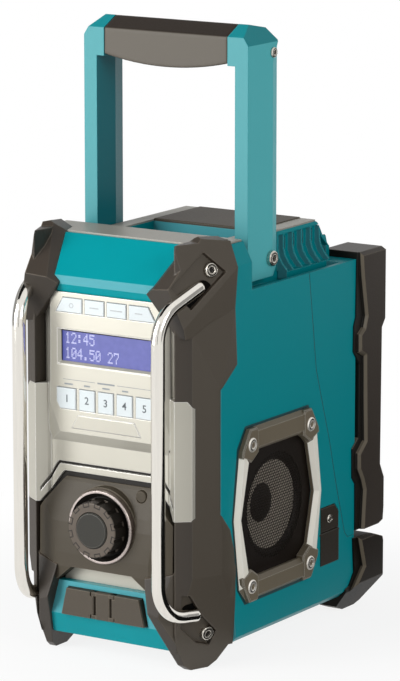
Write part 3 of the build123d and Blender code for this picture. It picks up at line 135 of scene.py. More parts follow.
def mirrored(vector, sign):
    """The vector for a sign of 1, and its mirror image on the other side for -1."""
    return Vector((vector.x * sign, vector.y, vector.z))


def linear(code):
    """Linear RGBA of an sRGB hex colour."""
    shades = [int(code[i:i + 2], 16) / 255 for i in (0, 2, 4)]
    return tuple(s / 12.92 if s <= 0.04045 else ((s + 0.055) / 1.055) ** 2.4
                 for s in shades) + (1.0,)


def add_node(tree, kind, sockets=None, **settings):
    """Adds a shader node with its settings. A socket takes a value, or a link from another
    socket or from the first output of a node."""
    node = tree.nodes.new("ShaderNode" + kind)
    for key, value in settings.items():
        setattr(node, key, value)
    for socket, value in (sockets or {}).items():
        source = value.outputs[0] if isinstance(value, bpy.types.Node) else value
        if isinstance(source, bpy.types.NodeSocket):
            tree.links.new(source, node.inputs[socket])
        else:
            node.inputs[socket].default_value = source
    return node


def colour_setting(label, description, code):
    return bpy.props.FloatVectorProperty(name=label, description=description, subtype="COLOR",
                                         size=3, min=0, max=1, default=linear(code)[:3])


def length_setting(label, description, length):
    return bpy.props.FloatProperty(name=label, description=description, subtype="DISTANCE",
                                   unit="LENGTH", min=0, precision=5, default=mm(length))


class RadioColours(bpy.types.PropertyGroup):
    """Colours of the radio's finishes."""
    teal: colour_setting("Teal", "Moulded shells and handle", "00878F")
    # Painted highlight along the shells' rounded edges, partly standing for wear
    teal_edge: colour_setting("Teal edge", "Rubbed edges of the teal shells", "3FA3A9")
    rubber: colour_setting("Bumper rubber", "Corner bumpers", "332B23")
    # Painted highlight along the bumpers' rounded edges, partly standing for wear
    rubber_edge: colour_setting("Rubber edge", "Rounded edges of the bumpers", "857A6A")
    grip: colour_setting("Grip rubber", "Carrying grip", "2A231D")
    silver: colour_setting("Silver", "Painted front panel", "ADAA9F")
    panel: colour_setting("Control panel", "Soft-touch control panel", "423C32")
    keys: colour_setting("Keys", "Printed keys", "C0C7C9")
    ink: colour_setting("Ink", "Printed marks", "767C80")
    screen: colour_setting("Screen", "Backlit liquid crystal", "55588F")
    screen_deep: colour_setting("Screen edge", "Backlight at the screen's end", "333B84")
    screen_dots: colour_setting("Screen dots", "Lit dots of the characters", "B4B6D6")
    chrome: colour_setting("Chrome", "Guard bars", "E6E2DA")
    crown: colour_setting("Knob crown", "Ribbed ring of the knob", "554D45")
    cap: colour_setting("Knob cap", "Push cap of the knob", "302F2B")
    frame_dark: colour_setting("Speaker frame", "Corners and cross bars", "6C6353")
    grille: colour_setting("Grille", "Perforated plate", "1C1510")
    cone: colour_setting("Cone", "Loudspeaker cone", "C9BFB0")
    steel: colour_setting("Screws", "Plated screws", "C9C4BA")
    pad: colour_setting("Top pad", "Rubber mat on top and port covers", "40392F")
    rail: colour_setting("Trims", "Grey trims on top", "96938A")


class RadioSizes(bpy.types.PropertyGroup):
    """Sizes of the details that are drawn on the frame."""
    shell_round: length_setting("Shell edge", "Edge rounding of the moulded shells", 0.9)
    rubber_round: length_setting("Rubber edge", "Edge rounding of bumpers and feet", 0.7)
    handle_round: length_setting("Handle edge", "Edge rounding of the handle frame", 2.2)
    screen_dot: length_setting("Screen dot", "Pitch of the dots on the screen", 0.82)
    hole_pitch: length_setting("Hole pitch", "Pitch of the grille holes", 2.2)
    hole_width: length_setting("Hole width", "Diameter of the grille holes", 1.9)
    numeral: length_setting("Numerals", "Height of the printed numbers", 5.2)


def rgba(colour):
    """RGBA of one of the colour settings, or of an sRGB hex colour."""
    if colour in RadioColours.__annotations__:
        return tuple(getattr(bpy.context.scene.radio_colours, colour)) + (1.0,)
    return linear(colour)


def size(name):
    """Millimetres of one of the size settings."""
    return getattr(bpy.context.scene.radio_sizes, name) * 1000


# ---- finishes -----------------------------------------------------------------------------
def new_material(name):
    """Empty material and its node tree."""
    material = bpy.data.materials.get(name)
    if material:
        bpy.data.materials.remove(material)
    material = bpy.data.materials.new(name)
    material.use_nodes = True
    material.node_tree.nodes.clear()
    return material, material.node_tree


def made(name):
    """Material that an earlier step has made."""
    return bpy.data.materials[name]


def soft_edges(tree, radius):
    """Node of the normal with its edges rounded over, and node of how close an edge is."""
    rounded = add_node(tree, "Bevel", {"Radius": mm(radius)}, samples=6)
    normal = add_node(tree, "NewGeometry").outputs["Normal"]
    match = add_node(tree, "VectorMath", {0: rounded, 1: normal}, operation="DOT_PRODUCT")
    near = add_node(tree, "MapRange", {
        "Value": match.outputs["Value"], "From Min": 0.995, "From Max": 0.90})
    return rounded, near


def clouded(tree, where, colour, spread, scale, detail=1.0, roughness=0.5):
    """Node of a colour whose brightness drifts by spread in clouds."""
    clouds = add_node(tree, "TexNoise", {
        "Vector": where, "Scale": scale, "Detail": detail, "Roughness": roughness})
    shade = add_node(tree, "MapRange", {
        "Value": clouds, "From Min": 0.3, "From Max": 0.7,
        "To Min": 1 - spread, "To Max": 1 + spread})
    return add_node(tree, "HueSaturation", {"Value": shade, "Color": rgba(colour)})


def moulded(name, colour, edge_colour, roughness, grain, grain_depth, radius,
            mottle=0.05, metallic=0.0, specular=0.2, coat=0.0):
    """Moulded or painted surface with grain and soft cloudiness. Its edges take the edge colour:
    painted highlights where it is pale, painted shade where it is dark, partly standing for
    wear.
    """
    material, tree = new_material(name)
    where = add_node(tree, "TexCoord").outputs["Object"]
    normal, edge = soft_edges(tree, radius)
    toned = clouded(tree, where, colour, mottle, 18.0, 3.0, 0.55)
    pores = add_node(tree, "TexNoise", {
        "Vector": where, "Scale": 1 / mm(grain), "Detail": 2.0, "Roughness": 0.6})
    # Painted highlight along the edges (painted shade where the edge colour is dark), partly
    # standing for wear
    painted_highlight = add_node(tree, "Math", {0: edge, 1: 0.55}, operation="MULTIPLY")
    body = add_node(tree, "Mix", {"Factor": painted_highlight, 6: toned, 7: rgba(edge_colour)},
                    data_type="RGBA")
    rough = add_node(tree, "MapRange", {
        "Value": pores, "From Min": 0.25, "From Max": 0.75,
        "To Min": roughness - 0.06, "To Max": roughness + 0.06})
    relief = add_node(tree, "Bump", {
        "Height": pores, "Normal": normal, "Strength": 0.6, "Distance": mm(grain_depth)})
    shader = add_node(tree, "BsdfPrincipled", {
        "Base Color": body.outputs[2], "Roughness": rough, "Normal": relief,
        "Metallic": metallic, "IOR": 1.5, "Specular IOR Level": specular,
        "Coat Weight": coat, "Coat Roughness": 0.25})
    add_node(tree, "OutputMaterial", {"Surface": shader})
    return material


def teal_abs():
    """ABS, injection moulded in a lightly spark-eroded mould: satin, a little orange peel.
    The real grain is about 0.2 mm, drawn at 1.1 mm so that it shows."""
    return moulded("teal_abs", "teal", "teal_edge", 0.36, 1.1, 0.03, size("shell_round"),
                   mottle=0.04, specular=0.1)


def handle_abs():
    """Glass-filled ABS of the handle, moulded in a polished tool: glossier than the shells."""
    return moulded("handle_abs", "teal", "teal_edge", 0.38, 1.1, 0.008, size("shell_round"),
                   mottle=0.03, specular=0.14)


def bumper_rubber():
    """Thermoplastic elastomer moulded over the corners: matt and finely pebbled, with pale edges
    that are painted highlights, partly standing for wear.
    The real pebble is about 0.3 mm, drawn at 1.2 mm so that it shows."""
    return moulded("bumper_rubber", "rubber", "rubber_edge", 0.45, 1.2, 0.05, 1.4,
                   mottle=0.07, specular=0.4)


def grip_rubber():
    """Soft elastomer on the grip, moulded with a fine pebble that catches a dull sheen."""
    return moulded("grip_rubber", "grip", "rubber_edge", 0.5, 1.0, 0.05, 1.2)


def inlet_rubber():
    """Dark silicone of the power inlet's cover: dull, with a fine stipple."""
    return moulded("inlet_rubber", "2A241C", "5A5044", 0.5, 1.1, 0.04, 0.7)


def silver_paint(name="silver_paint", colour="silver", roughness=0.38, metallic=0.5):
    """ABS sprayed with aluminium-flake paint: pale, with a soft metallic roll-off."""
    return moulded(name, colour, "FFFFFF", roughness, 0.9, 0.008, 0.7, mottle=0.02,
                   metallic=metallic, specular=0.4)


def soft_touch_panel():
    """ABS with soft-touch lacquer: even, matt and slightly velvety."""
    return moulded("soft_touch_panel", "panel", "rubber_edge", 0.5, 1.0, 0.02, 0.8, mottle=0.03)


def frame_plastic():
    """Glass-filled nylon of the speaker frames: satin, with pale edges that are painted
    highlights, partly standing for burnished wear.
    """
    return moulded("frame_plastic", "frame_dark", "C4BFB5", 0.4, 1.0, 0.02, 0.8, mottle=0.04)


def dark_nylon():
    """Black nylon of the parts behind the panel gaps: dull and nearly black. The same black also
    paints shade into the gaps around the control panel, into the knob's notches and into the
    screws' grooves and sockets.
    """
    return moulded("dark_nylon", "17130F", "2C2620", 0.55, 1.0, 0.02, 0.4, specular=0.3)


def socket_shade():
    """Near-black, matt and with hardly any sheen: painted shade deep in the guard bars'
    sockets, where hardly any light comes.
    """
    return moulded("socket_shade", "070605", "0C0A08", 0.7, 1.0, 0.02, 0.4, specular=0.05)


def key_plastic():
    """Polycarbonate keys with a hard clear coat: cool white and slightly glossy."""
    return moulded("key_plastic", "keys", "FFFFFF", 0.3, 1.0, 0.005, 0.4, mottle=0.01, coat=0.2)


def mat_rubber():
    """Moulded nitrile mat and covers: flat grey-brown with a fine stipple."""
    return moulded("mat_rubber", "pad", "rubber_edge", 0.6, 1.1, 0.05, 0.7, specular=0.35)


def grey_trim():
    """Grey ABS trim strips: satin."""
    return moulded("grey_trim", "rail", "CCC9BF", 0.4, 1.0, 0.02, 0.4, mottle=0.04)


def knob_crown():
    """Nylon of the knob's ribbed ring, moulded in an eroded tool: satin, with its edges painted
    dark as painted shade.
    """
    return moulded("knob_crown", "crown", "14110E", 0.42, 1.0, 0.02, 0.5, mottle=0.04)


def knob_cap_lacquer():
    """ABS cap under dark lacquer: smooth and a little glossier than the ring around it."""
    return moulded("knob_cap_lacquer", "cap", "95938C", 0.34, 1.0, 0.01, 0.6, mottle=0.03)


def grille_plate():
    """Punched steel plate under black powder coat: dull, with hardly any shine."""
    return moulded("grille_plate", "grille", "3F3831", 0.45, 1.0, 0.01, 0.2, metallic=0.4)


def cone_paper():
    """Pressed paper pulp of the loudspeaker's cone: matt and fibrous."""
    return moulded("cone_paper", "cone", "cone", 0.7, 1.4, 0.08, 0.3, mottle=0.08)


def board_laminate():
    """Glass-epoxy circuit board under green solder mask: glossy over a faint weave."""
    return moulded("board_laminate", "1F5A3A", "6E8F5A", 0.3, 0.8, 0.01, 0.2, mottle=0.06)


def metal(name, colour, roughness, streak, radius, stretch=(1, 1, 1)):
    """Bare or plated metal with fine streaks in its gloss."""
    material, tree = new_material(name)
    where = add_node(tree, "TexCoord").outputs["Object"]
    drawn = add_node(tree, "Mapping", {"Vector": where, "Scale": stretch})
    lines = add_node(tree, "TexNoise", {
        "Vector": drawn, "Scale": 1 / mm(streak), "Detail": 3.0, "Roughness": 0.6})
    rough, shade = (
        add_node(tree, "MapRange", {"Value": lines, "From Min": 0.25, "From Max": 0.75,
                                    "To Min": low, "To Max": high})
        for low, high in ((roughness * 0.7, roughness * 1.3), (0.95, 1.03)))
    toned = add_node(tree, "HueSaturation", {"Value": shade, "Color": rgba(colour)})
    rounded = add_node(tree, "Bevel", {"Radius": mm(radius)}, samples=6)
    relief = add_node(tree, "Bump", {
        "Height": lines, "Normal": rounded, "Strength": 0.3, "Distance": mm(0.006)})
    shader = add_node(tree, "BsdfPrincipled", {
        "Base Color": toned, "Roughness": rough, "Normal": relief, "Metallic": 1.0})
    add_node(tree, "OutputMaterial", {"Surface": shader})
    return material


def bar_chrome():
    """Steel tube, polished and chrome plated: mirror-bright, with faint lengthwise polish."""
    return metal("bar_chrome", "chrome", 0.1, 2.0, 0.3, (1, 1, 0.05))


def ring_chrome():
    """Plastic ring plated with satin nickel: duller and warmer than the bars."""
    return metal("ring_chrome", "B0A5A0", 0.32, 1.2, 0.3)


def screw_steel():
    """Zinc-plated steel screws: bright with a slightly frosted head."""
    return metal("screw_steel", "steel", 0.24, 0.8, 0.35)


def satin_steel():
    """Stainless screws of the speaker frames, tumbled: frosted, so they look pale all over."""
    return metal("satin_steel", "F2EEE6", 0.5, 0.8, 0.35)


def jack_metal():
    """Nickel-plated contact metal of the sockets."""
    return metal("jack_metal", "B9B4A8", 0.3, 0.8, 0.2)


def opened(material):
    """What a tint over a finished material needs: its tree, the socket that takes its colour,
    the colour, and the axes of the place on the object and of the way the surface faces."""
    tree = material.node_tree
    target = next(n for n in tree.nodes if n.type == "BSDF_PRINCIPLED").inputs["Base Color"]
    where = add_node(tree, "TexCoord").outputs["Object"]
    facing = add_node(tree, "NewGeometry").outputs["True Normal"]
    axes = [add_node(tree, "SeparateXYZ", {"Vector": v}).outputs for v in (where, facing)]
    return tree, target, target.links[0].from_socket, *axes


def tinted(tree, body, amount, start, full, colour, most=1.0):
    """Body colour that turns into another while the amount goes from start to full."""
    share = add_node(tree, "MapRange", {
        "Value": amount, "From Min": start, "From Max": full, "To Max": most})
    mixed = add_node(tree, "Mix", {"Factor": share, 6: body, 7: rgba(colour)},
                     data_type="RGBA")
    return mixed.outputs[2]


def sided(material, outwards, inwards, forwards, sideways=(0.35, 0.8), ahead=(0.75, 0.9)):
    """Paints light and shade by the way a face looks: one colour for the faces that look away
    from the middle, one for those that look towards it and one for those that look forwards.
    A colour paler than the body is a painted highlight, a darker one painted shade. The pairs
    are how squarely a face has to look that way for the tint to start and to be full."""
    tree, target, body, place, facing = opened(material)
    hand = add_node(tree, "Math", {0: place["X"]}, operation="SIGN")
    away = add_node(tree, "Math", {0: hand, 1: facing["X"]}, operation="MULTIPLY")
    for colour, amount, sign, (start, full) in (
            (outwards, away, 1, sideways), (inwards, away, -1, sideways),
            (forwards, facing["Y"], -1, ahead)):
        body = tinted(tree, body, amount, sign * start, sign * full, colour, 0.85)
    tree.links.new(body, target)
    return material


def darker_sides(material, colour):
    """Darkens the faces that don't look forwards: painted shade for the sides that turn away
    from the light.
    """
    tree, target, body, _, facing = opened(material)
    tree.links.new(tinted(tree, body, facing["Y"], -0.75, -0.4, colour), target)
    return material


def lipped_rubber(name, colour, specular):
    """Elastomer of the rear corners: the lip against the shell is drawn nearly black, and the
    chamfer along its front is painted pale, a painted highlight."""
    material = moulded(name, colour, "rubber_edge", 0.45, 1.2, 0.05, 1.2, mottle=0.07,
                       specular=specular)
    tree, target, body, place, facing = opened(material)
    out, level = (add_node(tree, "Math", {0: axis}, operation="ABSOLUTE")
                  for axis in (place["X"], facing["Z"]))
    low, front, steep = (
        add_node(tree, "MapRange", {"Value": amount, "From Min": start, "From Max": full})
        for amount, start, full in ((out, mm(78.9), mm(78.5)),
                                    (place["Y"], mm(104.5), mm(104)), (level, 0.75, 0.65)))
    inner = add_node(tree, "Math", {0: low, 1: front}, operation="MULTIPLY")
    lip = add_node(tree, "Math", {0: inner, 1: steep}, operation="MULTIPLY")
    # Faces that look forwards are painted pale: a painted highlight on the front chamfer
    painted_highlight = tinted(tree, body, facing["Y"], -0.2, -0.45, "6A6153", 0.9)
    tree.links.new(tinted(tree, painted_highlight, lip, 0, 1, "12100C"), target)
    return material


def glowing(name, colour, spread, scale, shine):
    """Smooth, slightly uneven colour that may glow. Gives the material, its tree, the node of
    its colour and the place on the object."""
    material, tree = new_material(name)
    where = add_node(tree, "TexCoord").outputs["Object"]
    toned = clouded(tree, where, colour, spread, scale)
    shader = add_node(tree, "BsdfPrincipled", {
        "Base Color": toned, "Emission Color": toned, **shine})
    add_node(tree, "OutputMaterial", {"Surface": shader})
    return material, tree, toned, where


def lit_screen():
    """Liquid-crystal panel under a clear cover: blue, glowing a little, deeper at one end."""
    material, tree, toned, where = glowing(
        "lit_screen", "screen", 0.05, 260.0,
        {"Roughness": 0.2, "IOR": 1.49, "Emission Strength": 0.3, "Specular IOR Level": 0.3})
    axes = add_node(tree, "SeparateXYZ", {"Vector": where})
    along = add_node(tree, "MapRange", {
        "Value": axes, "From Min": mm(-37.5), "From Max": mm(-33.5)})
    blue = add_node(tree, "Mix", {"Factor": along, 6: rgba("screen_deep"), 7: rgba("screen")},
                    data_type="RGBA")
    tree.links.new(blue.outputs[2], toned.inputs["Color"])
    return material


def printed(name, colour, glow=0.0):
    """Pad-printed ink, slightly uneven where it sits in the grain. The same flat colour also
    draws the dark seam and the painted shadow around the speaker frames.
    """
    return glowing(name, colour, 0.1, 900.0,
                   {"Roughness": 0.5, "IOR": 1.5, "Emission Strength": glow})[0]


def dress(material, *names):
    """Gives CAD nodes a finish."""
    for name in names:
        slots = nodes[name].data.materials
        slots.clear()
        slots.append(material)


# ---- meshes -------------------------------------------------------------------------------
def put(name, data):
    """New object in the scene."""
    thing = bpy.data.objects.new(name, data)
    bpy.context.scene.collection.objects.link(thing)
    return thing


def mesh_of(name, form, smooth=False):
    """Mesh from a bmesh, with its normals turned outwards."""
    bmesh.ops.recalc_face_normals(form, faces=form.faces)
    mesh = bpy.data.meshes.new(name)
    for face in form.faces:
        face.smooth = smooth
    form.to_mesh(mesh)
    form.free()
    return mesh


def add_piece(name, mesh, materials, body="cabinet", stands_for=(), smooth=False):
    """Puts a mesh or bmesh into the scene and lets it ride on a body of the frame."""
    if isinstance(mesh, bmesh.types.BMesh):
        mesh = mesh_of(name, mesh, smooth)
    piece = put(name, mesh)
    if mesh.materials:
        mesh.materials.clear()
    for material in materials:
        mesh.materials.append(material)
    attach(piece, body)
    if stands_for:
        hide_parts(*stands_for)


def evaluated(thing, name):
    """Mesh that an object's modifiers or curve make; the object itself goes."""
    view = bpy.context.evaluated_depsgraph_get()
    mesh = bpy.data.meshes.new_from_object(thing.evaluated_get(view))
    bpy.data.objects.remove(thing)
    mesh.name = name
    return mesh


def modify(thing, name, kind, **settings):
    """Adds a modifier with its settings."""
    modifier = thing.modifiers.new(name, kind)
    for key, value in settings.items():
        setattr(modifier, key, value)


def rectangle(left, right, low, high):
    return [(left, high), (right, high), (right, low), (left, low)]


def whole(half):
    """Closed outline from the half of it that has its first numbers above nought."""
    return half + [(-x, z) for x, z in reversed(half)]


def circle(across, up, steps, start=0):
    """Unit vectors around a circle, from start degrees on."""
    angles = [math.radians(start) + 2 * math.pi * k / steps for k in range(steps)]
    return [across * math.cos(a) + up * math.sin(a) for a in angles]


def bridge(form, low, high):
    """Faces between two closed loops of vertices, in order."""
    around = list(zip(low, low[1:] + low[:1], high[1:] + high[:1], high))
    return [form.faces.new(corners) for corners in around]


def bar_between(form, outline, push):
    """Closed slab from an outline of points, thick along push."""
    near = [form.verts.new(p) for p in outline]
    far = [form.verts.new(p + push) for p in outline]
    form.faces.new(near)
    form.faces.new(list(reversed(far)))
    bridge(form, near, far)


def slabs(outlines, depth, thickness, form=None):
    """Closed slabs from outlines of (x, height) points, with their fronts at depth and thick
    backwards, in a new form or one that is there already."""
    form = form or bmesh.new()
    for outline in outlines:
        bar_between(form, [spot(x, depth, z) for x, z in outline], BACK * mm(thickness))
    return form


def bevelled(form, chosen, width):
    """Bevels the edges whose ends are both chosen by their place."""
    bmesh.ops.bevel(form, geom=[e for e in form.edges if all(chosen(v.co) for v in e.verts)],
                    offset=mm(width), segments=2, affect="EDGES")


def turned(form, profile, centre, across, up, along, steps, radius=None, dark=()):
    """Turned form: profile is (radius, distance along the axis).
    The bands named in dark take the piece's second material."""
    rings = []
    for r, offset in profile:
        ring = []
        for k, way in enumerate(circle(across, up, steps)):
            reach = radius(r, offset, 2 * math.pi * k / steps) if radius else r
            ring.append(form.verts.new(centre + along * mm(offset) + way * mm(reach)))
        rings.append(ring)
    for band, (low, high) in enumerate(zip(rings, rings[1:])):
        for face in bridge(form, low, high):
            face.material_index = int(band in dark)
    form.faces.new(rings[0])
    lid = form.faces.new(list(reversed(rings[-1])))
    lid.material_index = int(len(rings) - 1 in dark)


def slot_outline(centre, far, along, r, far_r):
    """Rounded outline around two circles, in the plane across along."""
    way = (far - centre).normalized()
    side = along.cross(way).normalized()
    bends = [math.radians(15 * k - 90) for k in range(13)]
    return ([centre + (side * math.sin(a) - way * math.cos(a)) * mm(r) for a in bends]
            + [far + (way * math.cos(a) - side * math.sin(a)) * mm(far_r) for a in bends])


def socket_screw(form, centre, along, r, height, shank, length):
    """Screw with a bright rim, a ring groove and a hexagon socket. The groove and the socket's
    floor take the second, dark material: painted shade in these recesses.
    """
    across = along.orthogonal().normalized()
    up = along.cross(across)

    def reach(radius, offset, angle):
        if radius > 0.48 * r or offset < 0:
            return radius
        return radius * 0.866 / math.cos(angle % (math.pi / 3) - math.pi / 6)

    # Bands 6 to 8 (the groove) and 12 (the socket's floor) are painted shade
    turned(form, [(shank, -length), (shank, -0.05), (r, -0.05), (r, height - 0.9),
                  (r - 0.3, height - 0.3), (0.80 * r, height), (0.77 * r, height - 0.8),
                  (0.69 * r, height - 0.8), (0.67 * r, height - 0.1), (0.62 * r, height),
                  (0.52 * r, height), (0.47 * r, height - 0.15), (0.46 * r, height - 1.3)],
           centre, across, up, along, 48, reach, dark=(6, 7, 8, 12))


def ring_of_bands(loops, first=lambda band, k: True):
    """Closed ring through loops of points; first tells which faces take the first material."""
    form = bmesh.new()
    rings = [[form.verts.new(p) for p in loop] for loop in loops]
    for band, (low, high) in enumerate(zip(rings, rings[1:] + rings[:1])):
        for k, face in enumerate(bridge(form, low, high)):
            face.material_index = 0 if first(band, k) else 1
    return form


def softened(name, node, voxel, passes):
    """Mesh of a CAD node with its hard edges rounded over, as moulded rubber has them."""
    copy = put(name, nodes[node].data.copy())
    modify(copy, "weld", "WELD", merge_threshold=mm(0.01))
    modify(copy, "skin", "REMESH", mode="VOXEL", voxel_size=mm(voxel), use_smooth_shade=True)
    modify(copy, "ease", "SMOOTH", factor=0.5, iterations=passes)
    return evaluated(copy, name)


def rounded_over(node, width, segments=2):
    """Rounds the hard edges of a CAD node with modifiers; its own mesh stays as it is."""
    modify(nodes[node], "weld", "WELD", merge_threshold=mm(0.01))
    modify(nodes[node], "flat", "DECIMATE", decimate_type="DISSOLVE",
           angle_limit=math.radians(1))
    modify(nodes[node], "edge", "BEVEL", width=mm(width), segments=segments,
           limit_method="ANGLE", angle_limit=math.radians(18), harden_normals=True)


def numeral(text, height, x, depth, z):
    """Mesh of a plain numeral, upright and facing forwards."""
    curve = bpy.data.curves.new("numeral", "FONT")
    curve.body = text
    curve.size = mm(height) * 1.4
    curve.align_x = "CENTER"
    curve.align_y = "CENTER"
    curve.extrude = mm(0.02)
    curve.offset = mm(0.1)
    mesh = evaluated(put("numeral", curve), "numeral")
    for vertex in mesh.vertices:
        flat = vertex.co.copy()
        vertex.co = spot(x, depth, z) + Vector((flat.x, -flat.z, flat.y))
    return mesh


def speaker_loop(half, grow, out, sign):
    """Points of a speaker frame's outline, grown about its middle, at a distance outwards."""
    return [spot(sign * out, SPEAKER_DEPTH - w * grow, FRAME_HEIGHT + (z - FRAME_HEIGHT) * grow)
            for w, z in whole(half)]


def perforated(sign):
    """Thin plate with six-sided holes in its round middle, cut to the frame's opening."""
    form = bmesh.new()
    pitch, hole = size("hole_pitch"), size("hole_width") / 2
    rise, reach = pitch * math.sqrt(3) / 2, pitch / math.sqrt(3)
    rows, columns = int(PLATE_REACH / rise), int(PLATE_REACH / pitch) + 1
    corners = circle(BACK, UP, 6, 30)
    for row in range(-rows, rows + 1):
        for column in range(-columns, columns + 1):
            u, w = (column + (0.5 if row % 2 else 0)) * pitch, row * rise
            if abs(u) > PLATE_REACH:
                continue
            middle = spot(sign * PLATE_OUT, SPEAKER_DEPTH + u, SPEAKER_HEIGHT + w)
            rim = [form.verts.new(middle + c * mm(reach)) for c in corners]
            if math.hypot(u, w) < HOLES_REACH:
                bridge(form, rim, [form.verts.new(middle + c * mm(hole)) for c in corners])
            else:
                form.faces.new(rim)
    bmesh.ops.remove_doubles(form, verts=form.verts, dist=mm(0.01))
    edge = [(w * 1.03, WINDOW_HEIGHT + (z - WINDOW_HEIGHT) * 1.03) for w, z in whole(WINDOW)]
    middle = spot(sign * PLATE_OUT, SPEAKER_DEPTH, WINDOW_HEIGHT)
    for (w, z), (w2, z2) in zip(edge, edge[1:] + edge[:1]):
        near = spot(sign * PLATE_OUT, SPEAKER_DEPTH + w, z)
        out = Vector((0, z2 - z, w - w2)).normalized()
        if out.dot(near - middle) < 0:
            out = -out
        bmesh.ops.bisect_plane(form, geom=form.verts[:] + form.edges[:] + form.faces[:],
                               plane_co=near, plane_no=out, clear_outer=True)
    bmesh.ops.solidify(form, geom=form.faces[:], thickness=mm(PLATE_THICK))
    return form


# ---- operators ----------------------------------------------------------------------------
class RADIO_OT_shells(bpy.types.Operator):
    """Finish the teal shells, the handle frame and the trims on top"""
    bl_idname = "radio.shells"
    bl_label = "Shells and trims"

    def execute(self, context):
        # Faces that look squarely forwards, such as the band under the brow, take a paler teal:
        # a painted reflection of the lamps in front
        dress(sided(teal_abs(), "teal", "teal", "4E949D", ahead=(0.95, 0.995)),
              "front_cabinet", "rear_cabinet", "battery_door")
        # The handle's outer faces take a pale teal (painted reflection), its inner faces a dark
        # teal (painted shade) and its front faces a paler teal (painted highlight)
        dress(sided(handle_abs(), "58B8BE", "00606A", "4E8F94", (0.85, 0.97)), "handle_frame")
        rounded_over("handle_frame", size("handle_round"), 4)
        form = bmesh.new()
        for _, sign in SIDES:
            for (d, z), (d2, z2) in zip(SEAM, SEAM[1:]):
                line = ((d, z), (d + SEAM_WIDTH, z), (d2 + SEAM_WIDTH, z2), (d2, z2))
                bar_between(form, [spot(sign * SEAM_OUT, *p) for p in line],
                            RIGHT * sign * mm(SEAM_THICK))
        add_piece("seam_line", form, [printed("seam_shadow", "04282C")])
        dress(grey_trim(), "ledge_trim", "top_rails")
        dress(mat_rubber(), "top_pad", "port_cover_right", "port_cover_left", "cover_keeper")
        dress(inlet_rubber(), "inlet_cover_flap", "inlet_cover_tab")
        dress(dark_nylon(), "battery_tub", "terminal_block", "display_module", "aux_jack",
              "power_jack", "door_latch")
        dress(board_laminate(), "main_board", "key_board", "encoder")
        dress(jack_metal(), "usb_jack")
        return {"FINISHED"}


class RADIO_OT_bumpers(bpy.types.Operator):
    """Mould the rubber bumpers and feet around the corners"""
    bl_idname = "radio.bumpers"
    bl_label = "Bumpers and feet"

    def execute(self, context):
        # Front bumpers: outer faces paler (painted highlight), inner and front faces darker
        # (painted shade). Rear bumpers and feet: front chamfers painted pale (painted highlight)
        for kind, rubber in (
                ("front_bumper", sided(bumper_rubber(), "4F483E", "2A241D", "2B251E")),
                ("rear_bumper", lipped_rubber("rear_rubber", "2F271F", 0.25)),
                ("rear_foot", lipped_rubber("foot_rubber", "1F1913", 0.1))):
            for side, _ in SIDES:
                dress(rubber, f"{kind}_{side}")
                rounded_over(f"{kind}_{side}", size("rubber_round"))
        return {"FINISHED"}


class RADIO_OT_guard_bars(bpy.types.Operator):
    """Plate the guard bars, paint shade into their sockets and fit the screws"""
    bl_idname = "radio.guard_bars"
    bl_label = "Guard bars and screws"

    def execute(self, context):
        dress(bar_chrome(), "guard_bar_right", "guard_bar_left")
        steel = screw_steel()
        dress(steel, "door_hinge_pin", "antenna_rod")
        painted_socket_shade = socket_shade()
        # Near-black sheets in the bumpers' sockets, stretched towards each bar: painted shade of
        # the holes the bars go into
        for side, sign in SIDES:
            form = bmesh.new()
            for start, end, out, lift in (
                    (spot(64.9, 15, 41.8), spot(62.6, 8.4, 42.6), LOWER_BUMPER, -1.85),
                    (spot(65.9, 19, 261.5), spot(62.7, 9, 257.2), UPPER_BUMPER, 1.25)):
                centre, far, along = (mirrored(v, sign) for v in (start, end, out))
                far -= along * (far - centre).dot(along)
                bar_between(form, [p + along * mm(lift) for p in
                                   slot_outline(centre, far, along, *SOCKET_RADII)],
                            along * mm(-SOCKET_THICK))
            add_piece(f"bar_sockets_{side}", form, [painted_socket_shade])
        # Radius and height of the heads, radius and length of the shanks, and each screw's
        # place on the right side with the way it faces; all but the last have mirror images
        for name, body, sizes, places in (
                ("bumper_screws", "cabinet", (5, 3, 2, 7),
                 ((spot(67, 26.5, 275), UPPER_BUMPER), (spot(63.8, 26.9, 25.3), LOWER_BUMPER),
                  (spot(66, 234.2, 96), BACK), (spot(66, 236.4, 236), BACK))),
                ("handle_pivot_bolts", "cabinet", (5.3, 3, 4, 22.5),
                 ((spot(66.8, 104.2, 271.3), RIGHT),)),
                ("handle_screws", "handle", (3.6, 1.8, 1.6, 7),
                 ((spot(66.5, 106.5, 412), RIGHT),)),
                ("inlet_screw", "cabinet", (3, 1, 1.5, 8), ((spot(76.5, 168, 76.5), RIGHT),))):
            form = bmesh.new()
            for place, along in places:
                for sign in (1,) if name == "inlet_screw" else (1, -1):
                    socket_screw(form, mirrored(place, sign), mirrored(along, sign), *sizes)
            add_piece(f"{name}_heads", form, [steel, made("dark_nylon")], body,
                      [name])
        return {"FINISHED"}


